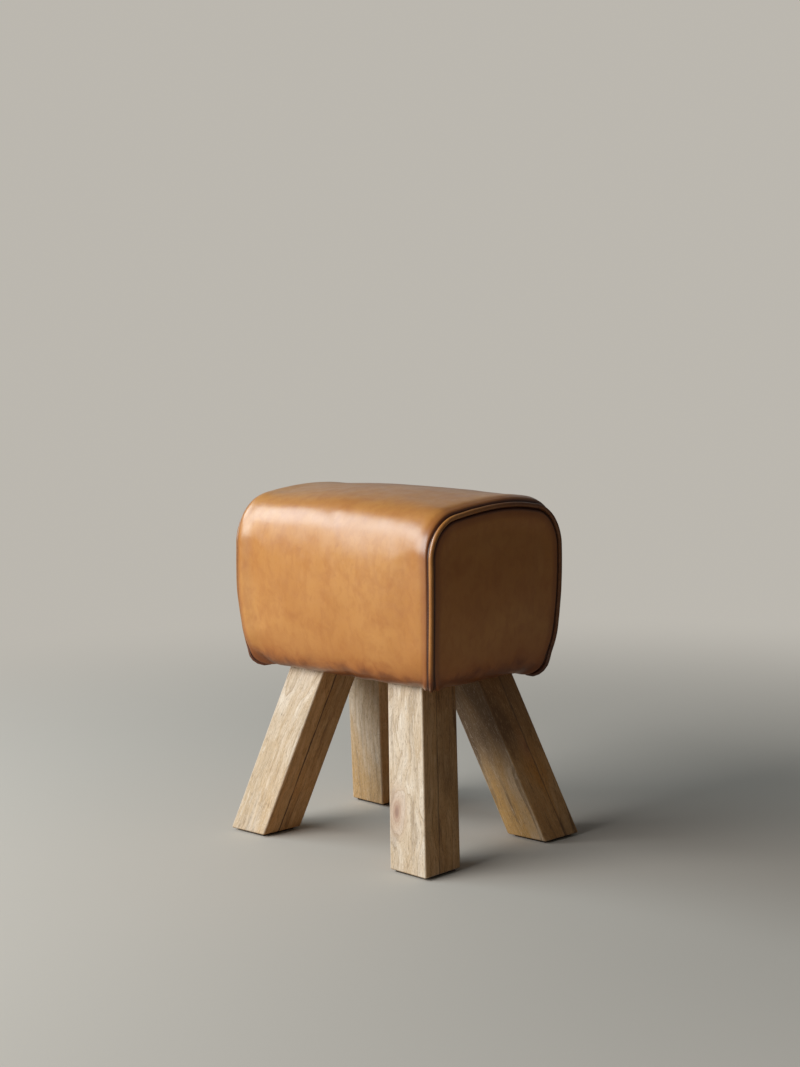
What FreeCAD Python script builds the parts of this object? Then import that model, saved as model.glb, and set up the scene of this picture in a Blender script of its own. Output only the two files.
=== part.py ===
import FreeCAD, Part
import Sketcher
import math
import os

V = FreeCAD.Vector

# A low stool: a padded leather block on four square legs that splay along the diagonals.
# Frame: origin on the floor under the middle of the seat, X along the seat, Y from the front
# (negative) to the back (positive), Z up. Lengths are millimetres and angles are degrees.

# Driving dimensions. Widths and lengths of the seat are full sizes; its heights are from its underside.
SIZES = {
    # the whole stool
    "overall_height": 460.0,
    "seat_underside": 224.0,
    # seat outline seen from the end, where the end seam runs
    "hem_width": 192.6,
    "knee_width": 223.6,
    "belly_width": 236.0,
    "shoulder_width": 234.4,
    "knee_rise": 35.0,
    "belly_rise": 116.0,
    "top_pitch": 17.3,
    # seat outline seen from the front, at the corners
    "hem_length": 315.2,
    "knee_length": 344.6,
    "belly_length": 360.4,
    "shoulder_length": 360.0,
    # how far the leather swells past the seams
    "top_swell": 16.0,
    "side_swell": 6.0,
    "end_swell": 5.0,
    # layers of the upholstery
    "leather": 2.0,
    "layer_ease": 1.0,
    "piping_radius": 3.0,
    "piping_ease": 0.2,
    "piping_sink": 1.0,
    "piping_tail": 40.0,
    # opening in the leather's hem under the base, and the cloth over it
    "hem_opening_length": 230.0,
    "hem_opening_width": 114.0,
    "dust_cover": 0.8,
    "dust_cover_lap": 12.0,
    # plywood carcass
    "carcass_length": 278.0,
    "carcass_width": 164.0,
    "base_thickness": 15.0,
    "wall_thickness": 12.0,
    "top_foam_depth": 52.0,
    "block_side": 25.0,
    # legs
    "leg_side": 62.0,
    "leg_outer_board": 25.0,
    "leg_edge_radius": 2.5,
    "leg_foot_bevel": 1.5,
    "leg_splay": 21.4,
    "foot_spread_x": 304.0,
    "foot_spread_y": 220.0,
    "leg_hole_ease": 0.3,
    # foot pads
    "pad_side": 52.0,
    "pad_thickness": 3.0,
    # hanger bolts, tee nuts and loose tenons
    "bolt_radius": 4.0,
    "bolt_length": 68.0,
    "bolt_in_leg": 50.0,
    "bolt_ease": 0.1,
    "nut_barrel_radius": 5.5,
    "nut_barrel_length": 11.0,
    "nut_flange_side": 20.0,
    "nut_flange": 1.5,
    "tenon_thickness": 8.0,
    "tenon_width": 24.0,
    "tenon_length": 28.0,
    "tenon_in_base": 11.0,
    "tenon_offset": 18.0,
    "tenon_shift": 8.0,
    "tenon_ease": 0.1,
    # reach of cutting shapes past what they cut
    "overrun": 24.0,
}

# Each corner of a soft outline is an arc that uses this share of the shorter of its two runs.
ROUNDING_SHARE = 0.48
# Places of the seat's sections along X, as shares of the way from the middle to the end seam.
SECTION_SHARES = (0.0, 0.42, 0.7, 0.84, 0.93, 1.0, 1.05)
FOAM_SECTION_SHARES = (0.0, 0.7, 0.92, 1.0, 1.05)
# The swell dies away towards a seam: slowly at first, and then as a pillow edge does.
SLOW_FALL_SHARE = 0.3
PILLOW_POWER = 12
# Places of the end panels' sections along Y, and how much of their swell the knee and the hem have.
END_SECTION_SHARES = (0.0, 0.55, 1.1)
LOWER_SWELL_SHARE = 0.7
# The piping's section has this many sides.
PIPING_SIDES = 6
# Hidden layers take this many chords for each corner's arc, in the order of the outline's corners.
SEAT_CHORDS = (3, 2, 1, 4, 3, 4, 1, 2, 3)
END_CHORDS = (3, 2, 1, 1, 1, 1, 2, 3)
# Two heights count as the same when they differ by less than this share of a leg's foot bevel.
SAME_HEIGHT_SHARE = 0.001

doc = FreeCAD.newDocument("stool")
sheet = doc.addObject("Spreadsheet::Sheet", "dims")
for row, (alias, number) in enumerate(SIZES.items(), start=1):
    sheet.set(f"A{row}", str(number))
    sheet.setAlias(f"A{row}", alias)
doc.recompute()


def size(alias):
    """One driving dimension, read from the sheet."""
    return float(sheet.get(alias))


def bind(thing, **expressions):
    """Tie properties of an object to the sheet; two underscores in a name stand for a dot."""
    for name, expression in expressions.items():
        thing.setExpression(name.replace("__", "."), expression)
    return thing


def place(thing, x, y, z):
    """Tie an object's place to three expressions."""
    return bind(thing, Placement__Base__x=x, Placement__Base__y=y, Placement__Base__z=z)


def box(label, length, width, height, x, y, z):
    """A box with its lowest corner at x, y, z."""
    thing = bind(doc.addObject("Part::Box", label), Length=length, Width=width, Height=height)
    return place(thing, x, y, z)


def cylinder(label, radius, height, x, y, z):
    """An upright cylinder with the middle of its foot at x, y, z."""
    thing = bind(doc.addObject("Part::Cylinder", label), Radius=radius, Height=height)
    return place(thing, x, y, z)


def fuse(label, shapes):
    thing = doc.addObject("Part::MultiFuse", label)
    thing.Shapes = shapes
    return thing


def common(label, shapes):
    thing = doc.addObject("Part::MultiCommon", label)
    thing.Shapes = shapes
    return thing


def cut(label, base, tools):
    """The base less one or more tools."""
    thing = doc.addObject("Part::Cut", label)
    thing.Base = base
    thing.Tool = tools[0] if len(tools) == 1 else fuse(label + "_tools", tools)
    return thing


def group(label, solids):
    """Like fasteners kept as separate solids of one node."""
    thing = doc.addObject("Part::Compound", label)
    thing.Links = solids
    return thing


# Soft outlines: straight runs joined by tangent arcs

def unit(vector):
    return vector / vector.Length


def turn_between(before, corner, after):
    """The angle by which a route turns at a corner, in radians."""
    return unit(corner - before).getAngle(unit(after - corner))


def corner_radii(points, closed):
    """The radius at each point whose arc uses its share of the shorter of its two runs."""
    radii = []
    count = len(points)
    for index, corner in enumerate(points):
        if not closed and index in (0, count - 1):
            radii.append(0.0)
            continue
        before = points[index - 1]
        after = points[(index + 1) % count]
        setback = ROUNDING_SHARE * min((corner - before).Length, (after - corner).Length)
        radii.append(setback / math.tan(turn_between(before, corner, after) / 2))
    return radii


def rounded_wire(points, radii, closed, chords=None):
    """A wire along the points, with an arc of the given radius at each; 0 leaves a sharp corner.

    With chords, each arc is drawn as that many straight chords.
    """
    count = len(points)
    entries = []
    for index, corner in enumerate(points):
        radius = radii[index]
        if radius == 0:
            entries.append((corner, None, corner))
            continue
        before = points[index - 1]
        after = points[(index + 1) % count]
        half_turn = turn_between(before, corner, after) / 2
        setback = radius * math.tan(half_turn)
        start = corner + unit(before - corner) * setback
        end = corner + unit(after - corner) * setback
        inward = unit(unit(before - corner) + unit(after - corner))
        middle = corner + inward * radius * (1 / math.cos(half_turn) - 1)
        entries.append((start, middle, end))
    edges = []
    for index, (start, middle, end) in enumerate(entries):
        if middle:
            arc = Part.Arc(start, middle, end).toShape()
            stops = arc.discretize(chords[index] + 1) if chords else []
            edges += [Part.LineSegment(*pair).toShape() for pair in zip(stops, stops[1:])] or [arc]
        if closed or index < count - 1:
            following = entries[(index + 1) % count][0]
            edges.append(Part.LineSegment(end, following).toShape())
    return Part.Wire(edges)


def inset_polygon(points, insets):
    """A closed polygon in the YZ or XZ plane, drawn as (u, v), with each side moved inwards."""
    count = len(points)
    sides = []
    for index in range(count):
        start = points[index]
        along = unit(points[(index + 1) % count] - start)
        inward = V(-along.y, along.x, 0)
        sides.append((start + inward * insets[index], along))
    moved = []
    for index in range(count):
        origin, along = sides[index]
        last_origin, last_along = sides[index - 1]
        cross = last_along.x * along.y - last_along.y * along.x
        gap = origin - last_origin
        moved.append(last_origin + last_along * ((gap.x * along.y - gap.y * along.x) / cross))
    return moved


def swell_share(share):
    """How much of the full swell is left at a share of the way to the seam."""
    return 1 - SLOW_FALL_SHARE * share ** 2 - (1 - SLOW_FALL_SHARE) * share ** PILLOW_POWER


def seat_outline(share):
    """The seat's outline in the YZ plane at a share of the way to the end seam, as (y, z) corners."""
    side = size("side_swell") * swell_share(share)
    pitch = size("top_pitch")
    ridge = size("overall_height") + ridge_rounding() + size("top_swell") * (swell_share(share) - 1)
    floor = size("seat_underside")
    right = [
        V(size("hem_width") / 2 + side, floor, 0),
        V(size("knee_width") / 2 + side, floor + size("knee_rise"), 0),
        V(size("belly_width") / 2 + side, floor + size("belly_rise"), 0),
        V(size("shoulder_width") / 2 + side, ridge - pitch, 0),
    ]
    left = [V(-point.x, point.y, 0) for point in reversed(right)]
    return right + [V(0, ridge, 0)] + left


def ridge_rounding():
    """How far the arc over the middle of the seat passes below the corner that it rounds."""
    half = size("shoulder_width") / 2 + size("side_swell")
    run = math.hypot(half, size("top_pitch"))
    slope = math.atan(size("top_pitch") / half)
    radius = ROUNDING_SHARE * run / math.tan(slope)
    return radius * (1 / math.cos(slope) - 1)


def seam_ridge():
    """Height of the corner over the middle of the end seam."""
    return size("overall_height") + ridge_rounding() - size("top_swell")


def end_outline(share):
    """The seat's outline in the XZ plane at a share of the way to the corners, as (x, z) corners."""
    swell = size("end_swell") * (1 - share ** 2)
    floor = size("seat_underside")
    belly_half = size("belly_length") / 2 + swell
    shoulder_half = size("shoulder_length") / 2
    seam_top = seam_ridge()
    top = size("overall_height") + size("overrun")
    lean = (shoulder_half - belly_half) / (seam_top - floor - size("belly_rise"))
    right = [
        V(size("hem_length") / 2 + swell * LOWER_SWELL_SHARE, floor, 0),
        V(size("knee_length") / 2 + swell * LOWER_SWELL_SHARE, floor + size("knee_rise"), 0),
        V(belly_half, floor + size("belly_rise"), 0),
        V(shoulder_half + lean * (top - seam_top), top, 0),
    ]
    left = [V(-point.x, point.y, 0) for point in reversed(right)]
    return right + left


def section(label, outline, inset, bottom_inset, to_space, sharp=(), chords=None):
    """One section of a soft form: the outline moved inwards, with its rounding kept concentric."""
    radii = corner_radii(outline, True)
    insets = [inset] * len(outline)
    insets[-1] = bottom_inset
    for index in range(len(outline)):
        at_bottom = index in (0, len(outline) - 1)
        radii[index] -= bottom_inset if at_bottom else inset
        if index in sharp:
            radii[index] = 0.0
    moved = [to_space(point) for point in inset_polygon(outline, insets)]
    thing = doc.addObject("Part::Feature", label)
    thing.Shape = rounded_wire(moved, radii, True, chords)
    return thing


def loft(label, sections):
    thing = doc.addObject("Part::Loft", label)
    thing.Sections = sections
    thing.Solid = True
    thing.Ruled = True
    return thing


def mirrored_shares(shares):
    return [-share for share in reversed(shares) if share] + list(shares)


def seat_form(name, inset, bottom_inset, shares, hidden):
    """The padded block, moved inwards all round: a loft along X trimmed by a loft along Y."""
    seat_chords = SEAT_CHORDS if hidden else None
    end_chords = END_CHORDS if hidden else None
    end_half = size("shoulder_length") / 2
    along_x = []
    for number, share in enumerate(mirrored_shares(shares)):
        x = share * end_half

        def to_space(point, x=x):
            return V(x, point.x, point.y)

        label = f"{name}_x_section_{number}"
        outline = seat_outline(abs(share))
        along_x.append(section(label, outline, inset, bottom_inset, to_space, chords=seat_chords))
    side_half = size("shoulder_width") / 2
    along_y = []
    for number, share in enumerate(mirrored_shares(END_SECTION_SHARES)):
        y = share * side_half

        def to_space(point, y=y):
            return V(point.x, y, point.y)

        label = f"{name}_y_section_{number}"
        outline = end_outline(abs(share))
        along_y.append(section(label, outline, inset, bottom_inset, to_space, (3, 4), end_chords))
    ends[name] = loft(f"{name}_ends", along_y)
    return common(f"{name}_form", [loft(f"{name}_block", along_x), ends[name]])


ends = {}
leather = size("leather")
outer = seat_form("outer", 0.0, 0.0, SECTION_SHARES, False)
skin = seat_form("skin", leather, leather, SECTION_SHARES, True)
foam_block = seat_form("foam", leather + size("layer_ease"), leather, FOAM_SECTION_SHARES, True)


# Piping: a leather welt round each end seam, its tails turned under the base along the mitre

def seam_points(side):
    """Corners of the end seam, from under the front of the base, over the top, to under the back."""
    floor = size("seat_underside")
    low = floor - size("piping_radius") + size("piping_sink")
    hem_share = size("hem_length") / size("shoulder_length")
    knee_share = size("knee_length") / size("shoulder_length")
    hem_half = size("hem_width") / 2 + size("side_swell") * swell_share(hem_share)
    knee_half = size("knee_width") / 2 + size("side_swell") * swell_share(knee_share)
    tail = size("piping_tail") / math.sqrt(2)
    hem_end = size("hem_length") / 2
    back = [
        V(side * (hem_end - tail), hem_half - tail, low),
        V(side * hem_end, hem_half, low),
        V(side * size("knee_length") / 2, knee_half, floor + size("knee_rise")),
        V(side * size("belly_length") / 2, size("belly_width") / 2, floor + size("belly_rise")),
        V(side * size("shoulder_length") / 2, size("shoulder_width") / 2, seam_ridge() - size("top_pitch")),
    ]
    front = [V(point.x, -point.y, point.z) for point in back]
    return front + [V(side * size("shoulder_length") / 2, 0, seam_ridge())] + list(reversed(back))


def tube(label, side, radius):
    """A bar of a regular many-sided section along the end seam, with its flats at the radius."""
    points = seam_points(side)
    path = rounded_wire(points, corner_radii(points, False), False)
    along = unit(points[1] - points[0])
    across = unit(along.cross(V(0, 0, 1)))
    upright = across.cross(along)
    half_side_angle = math.pi / PIPING_SIDES
    reach = radius / math.cos(half_side_angle)
    corners = []
    for index in range(PIPING_SIDES):
        angle = half_side_angle * (2 * index + 1)
        corners.append(points[0] + across * reach * math.cos(angle) + upright * reach * math.sin(angle))
    thing = doc.addObject("Part::Feature", label)
    thing.Shape = path.makePipeShell([Part.makePolygon(corners + corners[:1])], True, False)
    return thing


SIDES = (("left", -1), ("right", 1))
grooves = []
piping = []
for side_name, side in SIDES:
    grooves.append(tube(f"groove_{side_name}", side, size("piping_radius") + size("piping_ease")))
    piping.append(tube(f"piping_{side_name}", side, size("piping_radius")))


# Legs: square posts tilted outwards along the diagonals, glued up from two boards

CORNERS = (
    ("front_left", -1, -1),
    ("front_right", 1, -1),
    ("back_left", -1, 1),
    ("back_right", 1, 1),
)
LEG_TOP = "(dims.seat_underside + dims.leather)"
LEG_HEIGHT = f"({LEG_TOP} - dims.pad_thickness)"
LEG_RUN = f"({LEG_HEIGHT} / cos(dims.leg_splay * 1deg))"
LEAN = "(tan(dims.leg_splay * 1deg) / sqrt(2))"


def rounded_square(body, name, side, radius, drop):
    """A sketch of a square with rounded corners about the body's own origin, lowered by a drop."""
    plane = next(f for f in body.Origin.OriginFeatures if f.Role == "XY_Plane")
    sketch = body.newObject("Sketcher::SketchObject", name)
    sketch.AttachmentSupport = [(plane, "")]
    sketch.MapMode = "FlatFace"
    bind(sketch, AttachmentOffset__Base__z=f"-dims.{drop}")
    half = size(side) / 2
    corner = size(radius)
    flat = half - corner
    corners = [V(1, -1, 0), V(1, 1, 0), V(-1, 1, 0), V(-1, -1, 0)]
    ends = []
    for index, sign in enumerate(corners):
        centre = V(sign.x * flat, sign.y * flat, 0)
        first = (index - 1) * math.pi / 2
        arc = Part.ArcOfCircle(Part.Circle(centre, V(0, 0, 1), corner), first, first + math.pi / 2)
        sketch.addGeometry(arc)
        ends.append((arc.StartPoint, arc.EndPoint))
    for index in range(4):
        sketch.addGeometry(Part.LineSegment(ends[index][1], ends[(index + 1) % 4][0]))
    for index in range(4):
        line = 4 + index
        following = (index + 1) % 4
        sketch.addConstraint(Sketcher.Constraint("Tangent", index, 2, line, 1))
        sketch.addConstraint(Sketcher.Constraint("Tangent", line, 2, following, 1))
        sketch.addConstraint(Sketcher.Constraint("Vertical" if index % 2 == 0 else "Horizontal", line))
        if index:
            sketch.addConstraint(Sketcher.Constraint("Equal", 0, index))
    bound = sketch.addConstraint(Sketcher.Constraint("Radius", 0, corner))
    sketch.setExpression(f"Constraints[{bound}]", f"dims.{radius}")
    for kind, first, second in (
        ("DistanceX", (-1, 1), (4, 1)),
        ("DistanceY", (-1, 1), (5, 1)),
        ("DistanceX", (6, 1), (-1, 1)),
        ("DistanceY", (7, 1), (-1, 1)),
    ):
        bound = sketch.addConstraint(Sketcher.Constraint(kind, *first, *second, half))
        sketch.setExpression(f"Constraints[{bound}]", f"dims.{side} / 2")
    return sketch


def tilt(thing, side_x, side_y):
    """Stand a shape on its foot and lean it inwards along the diagonal."""
    thing.Placement.Rotation = FreeCAD.Rotation(V(side_y, -side_x, 0), 1)
    bind(thing, Placement__Rotation__Angle="dims.leg_splay * 1deg")
    return place(
        thing,
        f"{side_x} * dims.foot_spread_x / 2",
        f"{side_y} * dims.foot_spread_y / 2",
        "dims.pad_thickness",
    )


def edges_at(thing, height):
    """Numbers of the straight and curved edges that lie flat at a height."""
    numbers = []
    slack = size("leg_foot_bevel") * SAME_HEIGHT_SHARE
    for number, edge in enumerate(thing.Shape.Edges, start=1):
        limits = edge.BoundBox
        if abs(limits.ZMin - height) < slack and abs(limits.ZMax - height) < slack:
            numbers.append(number)
    return numbers


def split_box(label, side_x, side_y, outer_board):
    """The half of a leg's space that one of its two boards fills, in the leg's own tilt."""
    thing = doc.addObject("Part::Box", label)
    bind(thing, Length="2 * dims.leg_side", Height=f"2 * {LEG_HEIGHT}", Width="2 * dims.leg_side")
    glue_line = f"{side_y} * (dims.leg_side / 2 - dims.leg_outer_board)"
    towards = side_y if outer_board else -side_y
    start = glue_line if towards > 0 else f"{glue_line} - 2 * dims.leg_side"
    wrapper = doc.addObject("Part::Compound", label + "_tilted")
    place(thing, "-dims.leg_side", start, f"-{LEG_HEIGHT} / 2")
    wrapper.Links = [thing]
    return tilt(wrapper, side_x, side_y)


def tenon(label, margin, middle):
    """A loose tenon with its foot's middle at a place, or with a margin all round its mortise."""
    x, y, z = middle
    return box(
        label,
        f"dims.tenon_thickness + 2 * {margin}",
        f"dims.tenon_width + 2 * {margin}",
        f"dims.tenon_length + 2 * {margin}",
        f"{x} - dims.tenon_thickness / 2 - {margin}",
        f"{y} - dims.tenon_width / 2 - {margin}",
        f"{z} - {margin}",
    )


leg_boards = []
leg_spaces = []
bolts = []
nuts = []
tenons = []
base_tools = []
foot_pads = []
for corner_name, side_x, side_y in CORNERS:
    body = doc.addObject("PartDesign::Body", f"leg_{corner_name}_blank")
    outline = rounded_square(body, f"leg_{corner_name}_sketch", "leg_side", "leg_edge_radius", "overrun")
    post = body.newObject("PartDesign::Pad", f"leg_{corner_name}_post")
    post.Profile = outline
    bind(post, Length=f"{LEG_RUN} + 2 * dims.overrun")
    tilt(body, side_x, side_y)
    slab = box(
        f"leg_{corner_name}_slab",
        "dims.foot_spread_x",
        "dims.foot_spread_x",
        LEG_HEIGHT,
        f"{side_x} * dims.foot_spread_x / 2 - dims.foot_spread_x / 2",
        f"{side_y} * dims.foot_spread_y / 2 - dims.foot_spread_x / 2",
        "dims.pad_thickness",
    )
    trimmed = common(f"leg_{corner_name}_trimmed", [body, slab])
    doc.recompute()
    eased = doc.addObject("Part::Chamfer", f"leg_{corner_name}_eased")
    eased.Base = trimmed
    bevel = size("leg_foot_bevel")
    eased.Edges = [(number, bevel, bevel) for number in edges_at(trimmed, size("pad_thickness"))]

    top_x = f"{side_x} * (dims.foot_spread_x / 2 - {LEG_HEIGHT} * {LEAN})"
    top_y = f"{side_y} * (dims.foot_spread_y / 2 - {LEG_HEIGHT} * {LEAN})"
    bolt_foot = f"{LEG_TOP} - dims.bolt_in_leg"
    tenon_place = (
        f"{top_x} + {side_x} * dims.tenon_offset",
        f"{top_y} - {side_y} * dims.tenon_shift",
        f"{LEG_TOP} + dims.tenon_in_base - dims.tenon_length",
    )
    bolt_hole = cylinder(
        f"bolt_hole_{corner_name}", "dims.bolt_radius + dims.bolt_ease", "dims.bolt_length",
        top_x, top_y, bolt_foot,
    )
    mortise = tenon(f"mortise_{corner_name}", "dims.tenon_ease", tenon_place)
    drilled = cut(f"leg_{corner_name}_drilled", eased, [bolt_hole, mortise])
    for board_name, is_outer in (("outer", True), ("inner", False)):
        half = split_box(f"leg_{corner_name}_{board_name}_half", side_x, side_y, is_outer)
        leg_boards.append(common(f"leg_{corner_name}_{board_name}_board", [drilled, half]))

    space = doc.addObject("Part::Box", f"leg_{corner_name}_space")
    bind(
        space,
        Length="dims.leg_side + 2 * dims.leg_hole_ease",
        Width="dims.leg_side + 2 * dims.leg_hole_ease",
        Height=f"{LEG_RUN} + dims.overrun",
    )
    place(space, "-dims.leg_side / 2 - dims.leg_hole_ease", "-dims.leg_side / 2 - dims.leg_hole_ease", "0")
    tilted_space = doc.addObject("Part::Compound", f"leg_{corner_name}_space_tilted")
    tilted_space.Links = [space]
    leg_spaces.append(tilt(tilted_space, side_x, side_y))

    bolts.append(cylinder(
        f"hanger_bolt_{corner_name}", "dims.bolt_radius", "dims.bolt_length", top_x, top_y, bolt_foot,
    ))

    board_top = f"{LEG_TOP} + dims.base_thickness"
    barrel = cylinder(
        f"nut_barrel_{corner_name}", "dims.nut_barrel_radius", "dims.nut_barrel_length",
        top_x, top_y, f"{board_top} - dims.nut_barrel_length",
    )
    flange = box(
        f"nut_flange_{corner_name}", "dims.nut_flange_side", "dims.nut_flange_side", "dims.nut_flange",
        f"{top_x} - dims.nut_flange_side / 2", f"{top_y} - dims.nut_flange_side / 2", board_top,
    )
    nut_body = fuse(f"nut_body_{corner_name}", [barrel, flange])
    nut_hole = cylinder(
        f"nut_hole_{corner_name}", "dims.bolt_radius + dims.bolt_ease",
        "dims.nut_barrel_length + 2 * dims.nut_flange",
        top_x, top_y, f"{board_top} - dims.nut_barrel_length",
    )
    nuts.append(cut(f"tee_nut_{corner_name}", nut_body, [nut_hole]))
    tenons.append(tenon(f"tenon_{corner_name}", "0", tenon_place))

    base_tools += [
        cylinder(
            f"base_nut_hole_{corner_name}", "dims.nut_barrel_radius + dims.bolt_ease",
            "dims.base_thickness", top_x, top_y, LEG_TOP,
        ),
        tenon(f"base_mortise_{corner_name}", "dims.tenon_ease", tenon_place),
    ]

    foot_pads.append(box(
        f"foot_pad_{corner_name}", "dims.pad_side", "dims.pad_side", "dims.pad_thickness",
        f"{side_x} * dims.foot_spread_x / 2 - dims.pad_side / 2",
        f"{side_y} * dims.foot_spread_y / 2 - dims.pad_side / 2",
        "0",
    ))


# Carcass: a plywood box, glued and pinned, with a glue block in each upright corner

WALL_FOOT = f"({LEG_TOP} + dims.base_thickness)"
CARCASS_TOP = "(dims.overall_height - dims.top_foam_depth)"
WALL_HEIGHT = f"({CARCASS_TOP} - dims.wall_thickness - {WALL_FOOT})"
HALF_LENGTH = "dims.carcass_length / 2"
HALF_WIDTH = "dims.carcass_width / 2"

base_blank = box(
    "base_blank", "dims.carcass_length", "dims.carcass_width", "dims.base_thickness",
    f"-{HALF_LENGTH}", f"-{HALF_WIDTH}", LEG_TOP,
)
carcass = [
    cut("base_board", base_blank, base_tools),
    box(
        "top_board", "dims.carcass_length", "dims.carcass_width", "dims.wall_thickness",
        f"-{HALF_LENGTH}", f"-{HALF_WIDTH}", f"{CARCASS_TOP} - dims.wall_thickness",
    ),
]
for face_name, y in (("front", f"-{HALF_WIDTH}"), ("back", f"{HALF_WIDTH} - dims.wall_thickness")):
    carcass.append(box(
        f"{face_name}_board", "dims.carcass_length", "dims.wall_thickness", WALL_HEIGHT,
        f"-{HALF_LENGTH}", y, WALL_FOOT,
    ))
for side_name, x in (("left", f"-{HALF_LENGTH}"), ("right", f"{HALF_LENGTH} - dims.wall_thickness")):
    carcass.append(box(
        f"{side_name}_end_board", "dims.wall_thickness", "dims.carcass_width - 2 * dims.wall_thickness",
        WALL_HEIGHT, x, f"-{HALF_WIDTH} + dims.wall_thickness", WALL_FOOT,
    ))

blocks = []
for corner_name, side_x, side_y in CORNERS:
    reach_x = f"({HALF_LENGTH} - dims.wall_thickness)"
    reach_y = f"({HALF_WIDTH} - dims.wall_thickness)"
    x = f"{reach_x} - dims.block_side" if side_x > 0 else f"-{reach_x}"
    y = f"{reach_y} - dims.block_side" if side_y > 0 else f"-{reach_y}"
    blocks.append(box(
        f"corner_block_{corner_name}", "dims.block_side", "dims.block_side", WALL_HEIGHT, x, y, WALL_FOOT,
    ))


# Foam: a pad on each outer face of the carcass, and one over the top

REACH = "dims.belly_length"
foam_zones = {
    "top_foam": (REACH, REACH, "dims.overall_height", f"-{REACH} / 2", f"-{REACH} / 2", CARCASS_TOP),
    "front_foam": (
        REACH, "dims.belly_width", f"{CARCASS_TOP} - {LEG_TOP}",
        f"-{REACH} / 2", f"-{HALF_WIDTH} - dims.belly_width", LEG_TOP,
    ),
    "back_foam": (
        REACH, "dims.belly_width", f"{CARCASS_TOP} - {LEG_TOP}", f"-{REACH} / 2", HALF_WIDTH, LEG_TOP,
    ),
    "left_end_foam": (
        REACH, "dims.carcass_width", f"{CARCASS_TOP} - {LEG_TOP}",
        f"-{HALF_LENGTH} - {REACH}", f"-{HALF_WIDTH}", LEG_TOP,
    ),
    "right_end_foam": (
        REACH, "dims.carcass_width", f"{CARCASS_TOP} - {LEG_TOP}", HALF_LENGTH, f"-{HALF_WIDTH}", LEG_TOP,
    ),
}
foams = []
for label, sizes in foam_zones.items():
    zone = box(label + "_zone", *sizes)
    foams.append(common(label, [foam_block, zone]))


# Leather: a wrap over front, top and back, and two end panels, mitred under the base

hem_opening = box(
    "hem_opening", "dims.hem_opening_length", "dims.hem_opening_width", "2 * dims.overrun",
    "-dims.hem_opening_length / 2", "-dims.hem_opening_width / 2", "dims.seat_underside - dims.overrun",
)
leather_shell = cut("leather_shell", outer, [skin, hem_opening] + leg_spaces)


def end_zone(side_name, side):
    """The space of one end panel: beyond the seam, and below the knee beyond the mitre lines."""
    start = (size("hem_opening_length") - size("hem_opening_width")) / 2
    reach = size("belly_length")
    low = size("seat_underside") - size("overrun")
    split = size("seat_underside") + size("knee_rise")
    corners = [V(side * start, 0, low), V(side * reach, reach - start, low), V(side * reach, start - reach, low)]
    wedge = doc.addObject("Part::Feature", f"end_wedge_{side_name}")
    wedge.Shape = Part.Face(Part.makePolygon(corners + corners[:1])).extrude(V(0, 0, split - low))
    above = doc.addObject("Part::Box", f"end_above_{side_name}")
    bind(
        above,
        Length="dims.belly_length",
        Width="2 * dims.belly_width",
        Height="dims.overall_height",
    )
    place(
        above,
        "0" if side > 0 else "-dims.belly_length",
        "-dims.belly_width",
        "dims.seat_underside + dims.knee_rise",
    )
    beyond = cut(f"end_beyond_{side_name}", above, [ends["skin"]])
    return fuse(f"end_zone_{side_name}", [beyond, wedge])


zones = [end_zone(side_name, side) for side_name, side in SIDES]
upholstery = [cut("leather_wrap", leather_shell, zones + grooves)]
for (side_name, side), zone, groove in zip(SIDES, zones, grooves):
    panel = common(f"{side_name}_end_panel_blank", [leather_shell, zone])
    upholstery.append(cut(f"{side_name}_end_panel", panel, [groove]))

cover_blank = box(
    "dust_cover_blank",
    "dims.hem_opening_length + 2 * dims.dust_cover_lap",
    "dims.hem_opening_width + 2 * dims.dust_cover_lap",
    "dims.dust_cover",
    "-dims.hem_opening_length / 2 - dims.dust_cover_lap",
    "-dims.hem_opening_width / 2 - dims.dust_cover_lap",
    "dims.seat_underside - dims.dust_cover",
)
dust_cover = cut("dust_cover", cover_blank, leg_spaces)

fasteners = [
    group("hanger_bolts", bolts),
    group("tee_nuts", nuts),
    group("leg_tenons", tenons),
]
subparts = leg_boards + foot_pads + fasteners + carcass + blocks + foams + upholstery + piping + [dust_cover]

doc.recompute()
for thing in doc.Objects:
    if "Invalid" in thing.State or "Error" in thing.State:
        raise RuntimeError(f"{thing.Label} failed: {thing.State}")
for thing in subparts:
    if thing.Shape.isNull() or not thing.Shape.isValid() or not thing.Shape.Solids:
        raise RuntimeError(f"{thing.Label} has no valid solid")

os.makedirs("parts", exist_ok=True)
for thing in subparts:
    thing.Shape.exportStep(f"parts/{thing.Label}.step")
    print(f"{thing.Label}: {len(thing.Shape.Solids)} solids, {thing.Shape.Volume:.0f} mm3")
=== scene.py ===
"""Looks of a low leather-covered block stool: its covers, piping, legs and underside, and a plain studio round it."""

import math

import bmesh
import bpy
from bpy.props import FloatProperty, FloatVectorProperty, IntProperty, PointerProperty
from mathutils import Matrix, Vector, noise


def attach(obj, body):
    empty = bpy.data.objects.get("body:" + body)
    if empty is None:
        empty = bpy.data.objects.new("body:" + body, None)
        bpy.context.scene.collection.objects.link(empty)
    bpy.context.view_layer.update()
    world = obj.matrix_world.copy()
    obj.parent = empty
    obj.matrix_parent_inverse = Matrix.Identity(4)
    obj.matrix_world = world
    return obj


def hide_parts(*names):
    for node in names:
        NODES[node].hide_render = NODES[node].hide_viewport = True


bl_info = {
    "name": "Leather Block Stool",
    "version": (1, 0, 0),
    "blender": (4, 5, 0),
    "location": "View3D > Sidebar > Stool",
    "description": "Leather covers, piping, timber legs and underside of a low block stool, with a plain studio",
    "category": "Object",
}

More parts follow.
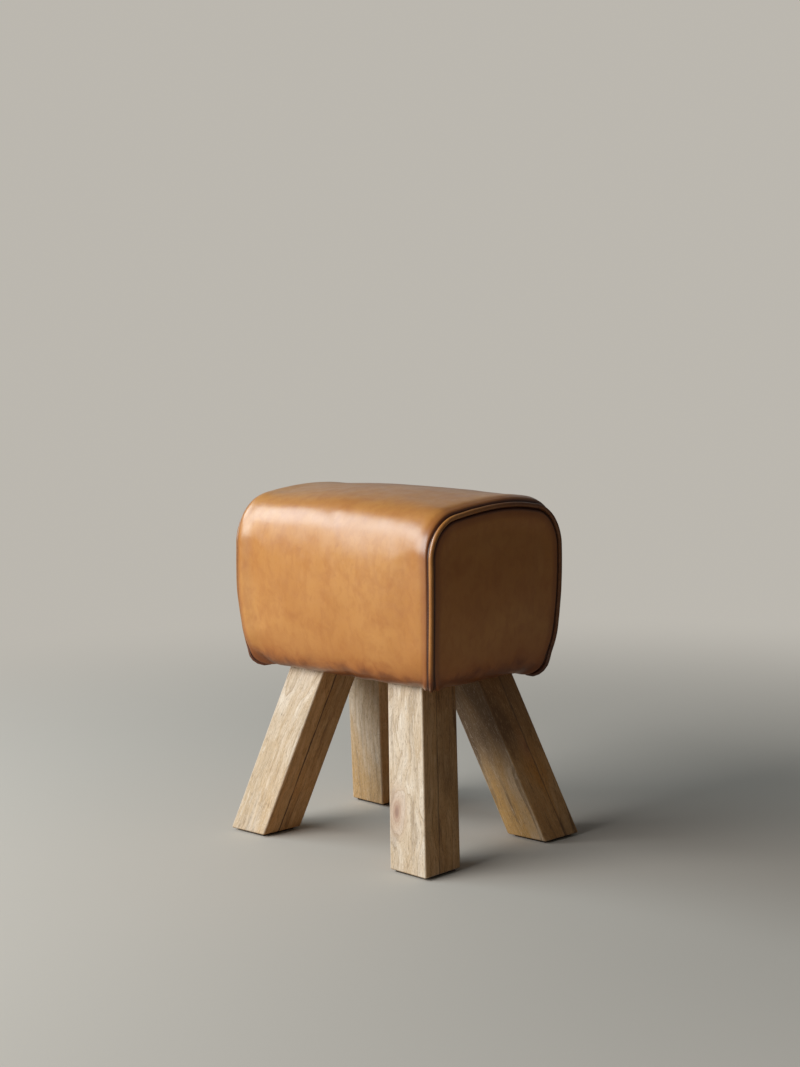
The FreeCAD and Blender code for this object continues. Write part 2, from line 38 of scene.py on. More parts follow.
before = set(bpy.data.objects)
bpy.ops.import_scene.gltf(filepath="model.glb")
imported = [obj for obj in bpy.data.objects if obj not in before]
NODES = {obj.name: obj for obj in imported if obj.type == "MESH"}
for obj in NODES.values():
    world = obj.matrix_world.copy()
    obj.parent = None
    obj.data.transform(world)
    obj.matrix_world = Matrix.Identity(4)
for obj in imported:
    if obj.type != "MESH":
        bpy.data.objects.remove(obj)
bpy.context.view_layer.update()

SIDES = (("left", -1), ("right", 1))
CORNERS = (
    ("front_left", -1, -1),
    ("front_right", 1, -1),
    ("back_left", -1, 1),
    ("back_right", 1, 1),
)

# Form of the padded block, with the shares that its solids have
ROUNDING_SHARE = 0.48
SLOW_FALL_SHARE = 0.3
PILLOW_POWER = 12
LOWER_SWELL_SHARE = 0.7
HEM_OPENING = (0.230, 0.114)
SHOULDER_HEIGHT = 0.448
END_TOP_SPARE = 0.024
BLOCK_MIDDLE = 0.34
ARC_LENGTH_SHARE = 1.06

# Covers: distances of their first lines of points from the seam, one step of the edge that is turned in, the rows
# of the strip's hem, and the station of the side's outline that is an end panel's top corner
SEAM_STEPS = (0.0, 0.0012, 0.0026, 0.0042, 0.006, 0.008, 0.0098, 0.0116, 0.0138, 0.0175, 0.0225)
EDGE_TURN = 0.0016
HEM_ROWS = 7
PANEL_CORNER = (7, 0.45)

# Piping: share of its radius that it stands out, how deep it lies in the left front tuck, and how much it is
# pressed flat under the base
PIPING_STAND = 0.14
PIPING_SUNK = 0.0034
PIPING_PRESSED = 0.45

# Tongue of the piping's welt, between the covers
TONGUE_DEPTH = 0.0026
TONGUE_HALF = 0.0024
TONGUE_THIN = 0.25
TONGUE_LEAST_SIZE = 0.8

# Stitches beside the piping
STITCH_SHARE = 0.36
THREAD_HALF = 0.00042
STITCH_INSET = 0.0031
STITCH_SINK = 0.0007

# Lining cloth under the base, and one staple
LINING_HALF = (0.127, 0.069)
LINING_DROP = 0.0005
LINING_SAG = 0.0022
LINING_GATHER = 0.0005
STAPLE_SIZE = (0.0100, 0.0012, 0.0006)
STAPLE_BEVEL = 0.00022
STAPLE_EDGE = 0.005
STAPLE_CORNER = (0.012, 0.014)

# Painted shade beside a seam: a russet strip where the hide rolls into the seam, and near black in the groove
SEAM_ROLL_SHADE = (0.28, 0.085, 0.018)
SEAM_GROOVE_SHADE = (0.060, 0.014, 0.003)

# Tones of the timber
SAND = (0.50, 0.395, 0.275)
CHALK = (0.76, 0.68, 0.55)
# Gold, strongest at the foot of a leg, partly the wood's tone and partly painted light from the floor
GOLD = (0.54, 0.325, 0.110)
# Painted shade at the top of the legs, under the seat
SEAT_SHADE_BROWN = (0.185, 0.122, 0.068)
WEATHERED = (0.255, 0.180, 0.105)
STAIN = (0.13, 0.082, 0.046)
OPEN_PORE = (0.15, 0.095, 0.055)
FILLED_PORE = (0.78, 0.72, 0.61)
KNOT_RING = (0.46, 0.30, 0.215)
KNOT_EYE = (0.30, 0.155, 0.100)
KNOT_HEART = (0.14, 0.08, 0.055)
# Warmer tint of the faces that look along the seat, partly their own tone and partly painted light in their shade
SIDE_FACE_SHADE = (1.08, 0.84, 0.56)
# Lighter edges of the legs, partly rubbed wear and partly painted highlight
LIT_WORN_EDGE = (0.80, 0.72, 0.58)
GLUE_LINE = (0.07, 0.042, 0.026)

# Outer and inner board of each leg, as (gold, strongest at the foot and there partly painted light from the floor;
# stain; grey; painted shade at the top under the seat; glue line; lighter edges, partly wear and partly painted
# highlight)
BOARD_TONES = {
    "front_left": ((0.42, 0.30, 0.0, 0.05, 0.95, 0.60), (0.45, 0.95, 0.25, 0.15, 0.95, 0.60)),
    "front_right": ((0.04, 0.42, 0.10, 0.0, 0.50, 0.60), (0.20, 0.90, 0.95, 0.30, 0.50, 0.45)),
    "back_left": ((1.00, 0.65, 0.05, 0.30, 0.50, 0.50), (0.78, 0.36, 0.0, 0.08, 0.50, 0.40)),
    "back_right": ((1.00, 0.95, 0.20, 0.95, 0.50, 0.10), (1.60, 0.78, 0.0, 1.15, 0.50, 0.08)),
}

# Knots of the boards that have one, as (across x, across y, up, size), and how far the grain draws a knot out
BOARD_KNOTS = {
    "leg_front_right_outer_board": ((-0.017, -0.031, 0.069, 0.0062),),
    "leg_back_right_inner_board": ((0.031, 0.004, 0.120, 0.0045),),
    "leg_back_left_outer_board": ((-0.010, 0.031, 0.100, 0.0048),),
}
KNOT_DRAWN = 0.55

# Soft lamps, as (name, place, target, size, colour), and the colour of the light from all round
LAMPS = (
    ("window", (-2.45, -1.14, 2.05), (0, 0, 0.34), (1.65, 1.3), (0.82, 0.93, 1.0)),
    ("side_lamp", (-1.05, -2.75, 1.60), (0, 0, 0.25), (2.6, 1.9), (1, 1, 1)),
    ("back_lamp", (-2.10, 1.75, 1.35), (0, 0, 0.40), (2.4, 1.5), (1, 1, 1)),
)
AIR_TONE = (1.0, 0.97, 0.93, 1)

# The photograph's camera
SENSOR_WIDTH, FOCAL_LENGTH = 36.0, 62.42
CAMERA_PLACE = (1.7351, -1.6830, 0.6444)
CAMERA_RIGHT = Vector((0.69916, 0.71462, -0.02205))
CAMERA_UP = Vector((-0.0564, 0.08588, 0.99471))


def metres(name, description, default):
    """A length that a user may change."""
    return FloatProperty(name=name, description=description, default=default, unit="LENGTH", precision=4)


def tint(name, description, default):
    """A colour that a user may change."""
    return FloatVectorProperty(
        name=name, description=description, default=default, subtype="COLOR", size=3, min=0, max=1
    )


class StoolSeatForm(bpy.types.PropertyGroup):
    """Half widths and heights of the padded block."""

    height: metres("Height", "Floor to the middle of the seat", 0.460)
    underside: metres("Underside", "Floor to the seat's underside", 0.224)
    hem_half: metres("Hem", "Half the seat's width at its hem", 0.0963)
    knee_half: metres("Knee", "Half the width just above the hem", 0.1118)
    belly_half: metres("Belly", "Half the width at its widest", 0.118)
    shoulder_half: metres("Shoulder", "Half the width under the top edge", 0.1172)
    knee_rise: metres("Knee rise", "Hem to knee", 0.035)
    belly_rise: metres("Belly rise", "Hem to belly", 0.116)
    top_pitch: metres("Top pitch", "Fall of the top from its middle to its edges", 0.0173)
    end_hem_half: metres("End hem", "Half the seat's length at its hem", 0.1576)
    end_knee_half: metres("End knee", "Half the length just above the hem", 0.1723)
    end_belly_half: metres("End belly", "Half the length at its longest", 0.1802)
    end_shoulder_half: metres("End shoulder", "Half the length under the top edge", 0.180)
    top_swell: metres("Top swell", "Rise of the top between its end seams", 0.016)
    side_swell: metres("Side swell", "Fullness of the long sides between the end seams", 0.006)
    end_swell: metres("End swell", "Fullness of the end panels", 0.005)


class StoolLeather(bpy.types.PropertyGroup):
    """Leather, padding and seams."""

    grid: metres("Grid", "Spacing of the cover's mesh", 0.0056)
    pressure: FloatProperty(name="Pressure", description="Push of the padding against the leather", default=4.0)
    frames: IntProperty(name="Frames", description="Frames that the padding is left to settle", default=20)
    slack: metres("Slack", "How far inside its form the cover starts", 0.0015)
    limit: metres("Limit", "Most that the padding may move the leather", 0.0048)
    puff: metres("Puff", "How much the padding stands up beside the end seams", 0.0026)
    thickness: metres("Thickness", "Thickness of the hide", 0.0018)
    allowance: metres("Seam allowance", "Width of the turned edge that shows through the leather", 0.0092)
    allowance_rise: metres("Allowance rise", "How much the turned edge lifts the leather", 0.0008)
    groove: metres("Groove", "Depth of the groove beside the piping", 0.0023)
    piping: metres("Piping radius", "Radius of the piping", 0.0030)
    stitch: metres("Stitch", "Length from one stitch to the next", 0.0042)
    tan: tint("Tan", "Main colour of the hide", (0.50, 0.212, 0.047))
    honey: tint("Honey", "Lighter clouds in the hide", (0.56, 0.260, 0.068))
    russet: tint("Russet", "Darker clouds in the hide", (0.38, 0.125, 0.024))
    # Painted shade in the folds, in the groove at the piping and on the piping, and at the hem partly burnish
    shade_and_burnish: tint("Burnish", "Edges, folds and seams", (0.110, 0.026, 0.007))


class StoolTimber(bpy.types.PropertyGroup):
    """Limed timber of the legs."""

    side: metres("Side", "Side of the square legs", 0.062)
    outer_board: metres("Outer board", "Thickness of the outer board of each leg", 0.025)
    splay: FloatProperty(
        name="Splay", description="Lean of each leg along the diagonal", default=math.radians(21.4), subtype="ANGLE"
    )
    foot_x: metres("Foot X", "Middle of the seat to a foot, along the seat", 0.152)
    foot_y: metres("Foot Y", "Middle of the seat to a foot, across the seat", 0.110)
    foot_z: metres("Foot Z", "Floor to the leg's wood", 0.003)
    lime: tint("Lime", "Pale filler in the grain", (0.680, 0.585, 0.460))
    straw: tint("Straw", "Early wood", (0.53, 0.395, 0.240))
    umber: tint("Umber", "Late wood and streaks", (0.22, 0.145, 0.082))


class StoolStudio(bpy.types.PropertyGroup):
    """Floor, air and lamps."""

    floor: tint("Floor", "Colour of the floor near the stool", (0.555, 0.525, 0.468))
    distance: tint("Distance", "Colour that the floor fades to, and of the air behind", (0.50, 0.475, 0.428))
    bounce: tint("Bounce", "Colour of the floor as the stool's own surfaces see it", (0.42, 0.335, 0.255))
    window: FloatProperty(name="Window", description="Power of the high soft lamp", default=42.0, unit="POWER")
    side: FloatProperty(name="Side", description="Power of the low soft lamp", default=118.0, unit="POWER")
    back: FloatProperty(name="Back", description="Power of the weak lamp behind", default=3.0, unit="POWER")
    sky: FloatProperty(name="Sky", description="Light that comes from all round", default=0.075)


# Outlines of the padded block


def swell_share(share):
    """How much of the full swell is left at a share of the way to the seam."""
    return 1 - SLOW_FALL_SHARE * share**2 - (1 - SLOW_FALL_SHARE) * share**PILLOW_POWER


def rounded(corners):
    """Straight runs and tangent arcs along flat corners, as (start, end, centre)."""
    parts, here = [], corners[0]
    for before, corner, after in zip(corners, corners[1:], corners[2:]):
        back, on = before - corner, after - corner
        setback = ROUNDING_SHARE * min(back.length, on.length)
        half = back.angle(on) / 2
        back, on = back.normalized(), on.normalized()
        centre = corner + (back + on).normalized() * (setback / math.cos(half))
        parts.append((here, corner + back * setback, None))
        parts.append((corner + back * setback, corner + on * setback, centre))
        here = corner + on * setback
    parts.append((here, corners[-1], None))
    return parts


def along_part(part, fraction):
    """The point at a fraction of a run or an arc."""
    start, end, centre = part
    if centre is None:
        return start.lerp(end, fraction)
    a, b = start - centre, end - centre
    turn = a.angle(b)
    return centre + (a * math.sin((1 - fraction) * turn) + b * math.sin(fraction * turn)) / math.sin(turn)


def stations(parts, spacing):
    """Evenly spaced (part, fraction) stations along runs and arcs."""
    found = []
    for index, (start, end, _) in enumerate(parts):
        steps = max(1, round((end - start).length * ARC_LENGTH_SHARE / spacing))
        found += [(index, step / steps) for step in range(steps)]
    return found + [(len(parts) - 1, 1.0)]


def side_route(form, share):
    """The block's outline across the seat, from the front hem's inner edge over the top to the back's, as (y, z)."""
    side = form.side_swell * swell_share(share)
    half = form.shoulder_half + form.side_swell
    slope = math.atan(form.top_pitch / half)
    radius = ROUNDING_SHARE * math.hypot(half, form.top_pitch) / math.tan(slope)
    ridge = form.height + radius * (1 / math.cos(slope) - 1) + form.top_swell * (swell_share(share) - 1)
    front = [
        Vector((-HEM_OPENING[1] / 2, form.underside)),
        Vector((-form.hem_half - side, form.underside)),
        Vector((-form.knee_half - side, form.underside + form.knee_rise)),
        Vector((-form.belly_half - side, form.underside + form.belly_rise)),
        Vector((-form.shoulder_half - side, ridge - form.top_pitch)),
    ]
    back = [Vector((-point.x, point.y)) for point in reversed(front)]
    return rounded(front + [Vector((0, ridge))] + back)


def end_route(form, y):
    """The block's outline along the seat at y, from the hem's inner edge up to the top, as (x, z)."""
    swell = form.end_swell * (1 - (y / form.shoulder_half) ** 2)
    top = form.height + END_TOP_SPARE
    rise = top - form.underside - form.belly_rise
    lean = form.end_shoulder_half - form.end_belly_half - swell
    lean /= SHOULDER_HEIGHT - form.underside - form.belly_rise
    return rounded(
        [
            Vector((HEM_OPENING[0] / 2, form.underside)),
            Vector((form.end_hem_half + swell * LOWER_SWELL_SHARE, form.underside)),
            Vector((form.end_knee_half + swell * LOWER_SWELL_SHARE, form.underside + form.knee_rise)),
            Vector((form.end_belly_half + swell, form.underside + form.belly_rise)),
            Vector((form.end_belly_half + swell + lean * rise, top)),
        ]
    )


def climb(parts, height):
    """The (part, fraction) station at which a rising route reaches a height."""
    for index, part in enumerate(parts[1:], 1):
        if height <= part[1].y or index == len(parts) - 1:
            low, high = 0.0, 1.0
            for _ in range(26):
                middle = (low + high) / 2
                if along_part(part, middle).y < height:
                    low = middle
                else:
                    high = middle
            return index, high


def seam_points(form, marks):
    """The end seam at x > 0, one point for each station of the side route."""
    points = []
    for index, fraction in marks:
        share = 1.0
        for _ in range(6):
            across = side_route(form, share)
            y, z = along_part(across[index], fraction)
            route = end_route(form, y)
            if index in (0, len(across) - 1):
                x = abs(y) + (route[1][0].x - abs(across[1][0].x))
            else:
                part, up = climb(route, z)
                x = along_part(route[part], up).x
            share = x / form.end_shoulder_half
        points.append(Vector((x, y, z)))
    return points


# Mesh helpers


def new_piece(name, mesh, material=None):
    """A finished object at the origin that rides on the stool."""
    piece = bpy.data.objects.new(name, mesh)
    bpy.context.scene.collection.objects.link(piece)
    if material:
        mesh.materials.append(material)
    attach(piece, "root")
    return piece


def to_mesh(bm, name, smooth=True):
    """A mesh from a bmesh, which is freed."""
    mesh = bpy.data.meshes.new(name)
    for face in bm.faces:
        face.smooth = smooth
    bm.to_mesh(mesh)
    bm.free()
    return mesh


def refinish(name, material):
    """Gives a CAD node its finish."""
    NODES[name].data.materials.clear()
    NODES[name].data.materials.append(material)


def outward(bm, probe, direction):
    """Turns the faces over unless the one nearest to probe looks along direction."""
    bm.faces.ensure_lookup_table()
    bm.normal_update()
    nearest = min(bm.faces, key=lambda face: (face.calc_center_median() - probe).length)
    if nearest.normal.dot(direction) < 0:
        bmesh.ops.reverse_faces(bm, faces=bm.faces)
        bm.normal_update()


def settle(piece, leather, freedom):
    """Lets the padding push the cover out with a cloth simulation, and keeps the result in the mesh."""
    mesh = piece.data
    start = [vertex.co.copy() for vertex in mesh.vertices]
    held = piece.vertex_groups.new(name="held")
    for index, free in enumerate(freedom):
        held.add([index], 1 - free, "REPLACE")
    cloth = piece.modifiers.new("padding", "CLOTH")
    settings = cloth.settings
    settings.quality = 5
    settings.mass = 0.4
    settings.tension_stiffness = settings.compression_stiffness = 30
    settings.shear_stiffness = 12
    settings.bending_stiffness = 2.0
    settings.air_damping = 2
    settings.use_pressure = True
    settings.uniform_pressure_force = leather.pressure
    settings.vertex_group_mass = "held"
    settings.effector_weights.gravity = 0
    cloth.collision_settings.use_collision = False
    cloth.collision_settings.use_self_collision = False
    cloth.point_cache.frame_start, cloth.point_cache.frame_end = 1, leather.frames
    scene = bpy.context.scene
    for number in range(1, leather.frames + 1):
        scene.frame_set(number)
    moved = piece.evaluated_get(bpy.context.evaluated_depsgraph_get())
    moves = [vertex.co - start[index] for index, vertex in enumerate(moved.data.vertices)]
    piece.modifiers.remove(cloth)
    piece.vertex_groups.remove(held)
    scene.frame_set(1)
    for index, vertex in enumerate(mesh.vertices):
        reach = moves[index].length
        if reach > 1e-9:
            kept = leather.limit * (1 - math.exp(-reach / leather.limit))
            vertex.co = start[index] + moves[index] * (kept / reach)


def swept_tube(bm, centres, outs, sizes, radius, sides, wobble=0.0, thin=1.0):
    """A tube drawn along centres by extruding a ring; outs say which way is out, and thin flattens it across them."""

    def stand(index):
        """The place and turn of the ring at a centre."""
        ahead = centres[min(index + 1, len(centres) - 1)] - centres[max(index - 1, 0)]
        ahead.normalize()
        out = (outs[index] - ahead * outs[index].dot(ahead)).normalized()
        size = sizes[index] * (1 + wobble * noise.noise(centres[index] * 60))
        turn = Matrix((out * size, ahead.cross(out) * size * thin, ahead)).transposed().to_4x4()
        return Matrix.Translation(centres[index]) @ turn

    ring = bmesh.ops.create_circle(bm, cap_ends=True, segments=sides, radius=radius, matrix=stand(0))["verts"]
    edges = list(ring[0].link_faces[0].edges)
    for index in range(1, len(centres)):
        grown = bmesh.ops.extrude_edge_only(bm, edges=edges)["geom"]
        edges = [item for item in grown if isinstance(item, bmesh.types.BMEdge)]
        ring = [item for item in grown if isinstance(item, bmesh.types.BMVert)]
        edges = [edge for edge in edges if all(vertex in ring for vertex in edge.verts)]
        bmesh.ops.transform(bm, matrix=stand(index) @ stand(index - 1).inverted(), verts=ring)
    bmesh.ops.contextual_create(bm, geom=edges)


# Materials


class Recipe:
    """A material's nodes, added step by step."""

    def __init__(self, name):
        self.material = bpy.data.materials.new(name)
        self.material.use_nodes = True
        self.nodes = self.material.node_tree.nodes
        self.links = self.material.node_tree.links
        self.shader = self.nodes["Principled BSDF"]
        self.place = self.nodes.new("ShaderNodeTexCoord").outputs["Object"]

    def feed(self, socket, value):
        """Gives a socket another node's output or a plain value."""
        if isinstance(value, bpy.types.NodeSocket):
            self.links.new(value, socket)
        elif value is not None:
            socket.default_value = value

    def turned(self, scale=(1, 1, 1), rotation=(0, 0, 0), location=(0, 0, 0), source=None):
        """Object coordinates that are scaled, turned and moved."""
        node = self.nodes.new("ShaderNodeMapping")
        self.feed(node.inputs["Vector"], source or self.place)
        node.inputs["Scale"].default_value = scale
        node.inputs["Rotation"].default_value = rotation
        node.inputs["Location"].default_value = location
        return node.outputs["Vector"]

    def cloud(self, vector, scale, detail=3.0, roughness=0.5, distortion=0.0):
        """Soft noise from 0 to 1."""
        node = self.nodes.new("ShaderNodeTexNoise")
        self.feed(node.inputs["Vector"], vector)
        for name, value in zip(("Scale", "Detail", "Roughness", "Distortion"), (scale, detail, roughness, distortion)):
            node.inputs[name].default_value = value
        return node.outputs["Fac"]

    def cells(self, vector, scale, feature="F1", randomness=1.0):
        """Distance inside scattered cells."""
        node = self.nodes.new("ShaderNodeTexVoronoi")
        node.feature = feature
        self.feed(node.inputs["Vector"], vector)
        node.inputs["Scale"].default_value = scale
        node.inputs["Randomness"].default_value = randomness
        return node.outputs["Distance"]

    def sum(self, operation, a, b=None, c=None, clamp=False):
        """One step of arithmetic."""
        node = self.nodes.new("ShaderNodeMath")
        node.operation, node.use_clamp = operation, clamp
        for socket, value in zip(node.inputs, (a, b, c)):
            self.feed(socket, value)
        return node.outputs[0]

    def span(self, value, low, high, to_low=0.0, to_high=1.0, smooth=True):
        """Maps a value from one range to another."""
        node = self.nodes.new("ShaderNodeMapRange")
        node.interpolation_type = "SMOOTHSTEP" if smooth else "LINEAR"
        for socket, number in zip(node.inputs, (value, low, high, to_low, to_high)):
            self.feed(socket, number)
        return node.outputs["Result"]

    def blend(self, share, a, b, kind="MIX"):
        """Mixes two colours."""
        node = self.nodes.new("ShaderNodeMix")
        node.data_type, node.blend_type = "RGBA", kind
        self.feed(node.inputs[0], share)
        self.feed(node.inputs[6], a if isinstance(a, bpy.types.NodeSocket) else (*a, 1))
        self.feed(node.inputs[7], b if isinstance(b, bpy.types.NodeSocket) else (*b, 1))
        return node.outputs[2]

    def layered(self, colour, *layers):
        """Lays tones over a colour, each as (value, where it starts, where it is full, how much of it, tone)."""
        for value, start, full, most, tone in layers:
            colour = self.blend(self.span(value, start, full, 0, most), colour, tone)
        return colour

    def parts(self, vector):
        """X, Y and Z of a vector."""
        node = self.nodes.new("ShaderNodeSeparateXYZ")
        self.feed(node.inputs[0], vector)
        return node.outputs

    def joined(self, x, y, z):
        """A vector from X, Y and Z."""
        node = self.nodes.new("ShaderNodeCombineXYZ")
        for socket, value in zip(node.inputs, (x, y, z)):
            self.feed(socket, value)
        return node.outputs[0]

    def kept(self, name):
        """A value that the mesh carries."""
        node = self.nodes.new("ShaderNodeAttribute")
        node.attribute_name = name
        return node.outputs["Fac"]

    def relief(self, height, depth, strength=1.0, below=None):
        """A bump of real depth, on top of another."""
        node = self.nodes.new("ShaderNodeBump")
        node.inputs["Strength"].default_value = strength
        node.inputs["Distance"].default_value = depth
        self.feed(node.inputs["Height"], height)
        if below:
            self.feed(node.inputs["Normal"], below)
        return node.outputs["Normal"]

    def finish(self, colour, roughness, normal=None, **plain):
        """Connects the shader; plain values go straight to its sockets."""
        self.feed(self.shader.inputs["Base Color"], colour)
        self.feed(self.shader.inputs["Roughness"], roughness)
        if normal:
            self.feed(self.shader.inputs["Normal"], normal)
        for name, value in plain.items():
            self.shader.inputs[name.replace("_", " ")].default_value = value
        return self.material


def leather_material(name, leather, seams, painted_shade=(0.0, 0.0)):
    """Smooth waxed hide with soft clouds and fine pores, painted shade in its folds and beside its seams, and darker
    towards its hem.

    seams says that the mesh carries its seam, and the last argument paints shade on the hide, as a share at the front
    and a share at the back, and makes it darker towards the hem.
    """
    r = Recipe(name)
    broad = r.cloud(r.place, 9, 3, 0.55, 0.4)
    patch = r.cloud(r.turned(location=(3, 1, 2)), 34, 4, 0.6, 0.6)
    dapple = r.cloud(r.turned(scale=(1, 1, 0.6), location=(2, 2, 7)), 85, 3, 0.6, 0.3)
    fleck = r.cloud(r.turned(location=(1, 5, 2)), 230, 3, 0.6)
    # Darker and redder towards the hem; the darkest band at the very bottom is partly painted shade where the hide
    # turns under the base, partly burnish
    hem = r.sum("MULTIPLY_ADD", r.sum("SUBTRACT", patch, 0.5), 0.045, r.parts(r.place)[2])
    colour = r.layered(
        r.blend(r.span(broad, 0.36, 0.66), leather.tan, leather.honey),
        (patch, 0.48, 0.72, 0.30, leather.russet),
        (dapple, 0.42, 0.66, 0.26, leather.russet),
        (fleck, 0.56, 0.78, 0.14, leather.russet),
        (hem, 0.290, 0.245, 0.30, leather.russet),
        (hem, 0.256, 0.236, 0.92, leather.russet),
        (hem, 0.246, 0.226, 0.72, leather.shade_and_burnish),
    )
    if any(painted_shade):
        # Painted shade on the piping, from a share at its front to a share at its back; it is also darker towards the
        # hem
        piping_darkening = r.span(r.parts(r.place)[1], -0.09, 0.05, *painted_shade)
        piping_darkening = r.sum("ADD", piping_darkening, r.span(r.parts(r.place)[2], 0.270, 0.235, 0, 0.35), clamp=True)
        colour = r.blend(r.sum("MULTIPLY", piping_darkening, r.span(fleck, 0.3, 0.7, 0.8, 1.0)), colour, leather.shade_and_burnish)
    pores = r.cells(r.place, 1050)
    grain = r.cloud(r.place, 2400, 2, 0.6)
    crease = r.cells(r.turned(scale=(1, 1, 1.4), location=(0.1, 0.2, 0.3)), 330, "DISTANCE_TO_EDGE")
    height = r.sum("MULTIPLY_ADD", grain, 0.35, r.sum("MULTIPLY", pores, 0.8))
    normal = r.relief(height, 0.00007, 0.55)
    normal = r.relief(r.span(crease, 0.0, 0.08), 0.00005, 0.35, normal)
    normal = r.relief(r.cloud(r.place, 42, 2, 0.5), 0.0009, 0.45, normal)
    if seams:
        # The fold value is painted shade, in the corner folds and in the dips of the hem
        near = r.kept("seam")
        walk = r.kept("walk")
        # Painted shade beside the seam: the russet strip where the hide rolls in, then darker, and near black in the
        # groove at the piping
        colour = r.layered(
            r.blend(r.sum("MULTIPLY", r.kept("fold"), 0.85, clamp=True), colour, leather.shade_and_burnish),
            (near, 0.0185, 0.0095, 0.62, SEAM_ROLL_SHADE),
            (near, 0.0078, 0.0056, 0.75, leather.shade_and_burnish),
            (near, 0.0058, 0.0044, 0.92, SEAM_GROOVE_SHADE),
        )
        wave = r.sum("SINE", r.sum("MULTIPLY", walk, 2 * math.pi / leather.stitch))
        pucker = r.sum("MULTIPLY", wave, r.span(near, 0.0058, 0.0030))
        normal = r.relief(pucker, 0.0002, 0.6, normal)
    rough = r.span(r.cloud(r.turned(location=(4, 4, 1)), 55, 3, 0.6), 0.3, 0.75, 0.32, 0.43)
    if seams:
        rough = r.sum("MAXIMUM", rough, r.span(near, 0.0058, 0.0044, 0, 0.75))
    polish = {"Coat_Weight": 0.45, "Coat_Roughness": 0.27}
    return r.finish(colour, rough, normal, Specular_IOR_Level=0.55, Specular_Tint=(0.66, 0.91, 1.0, 1.0), **polish)


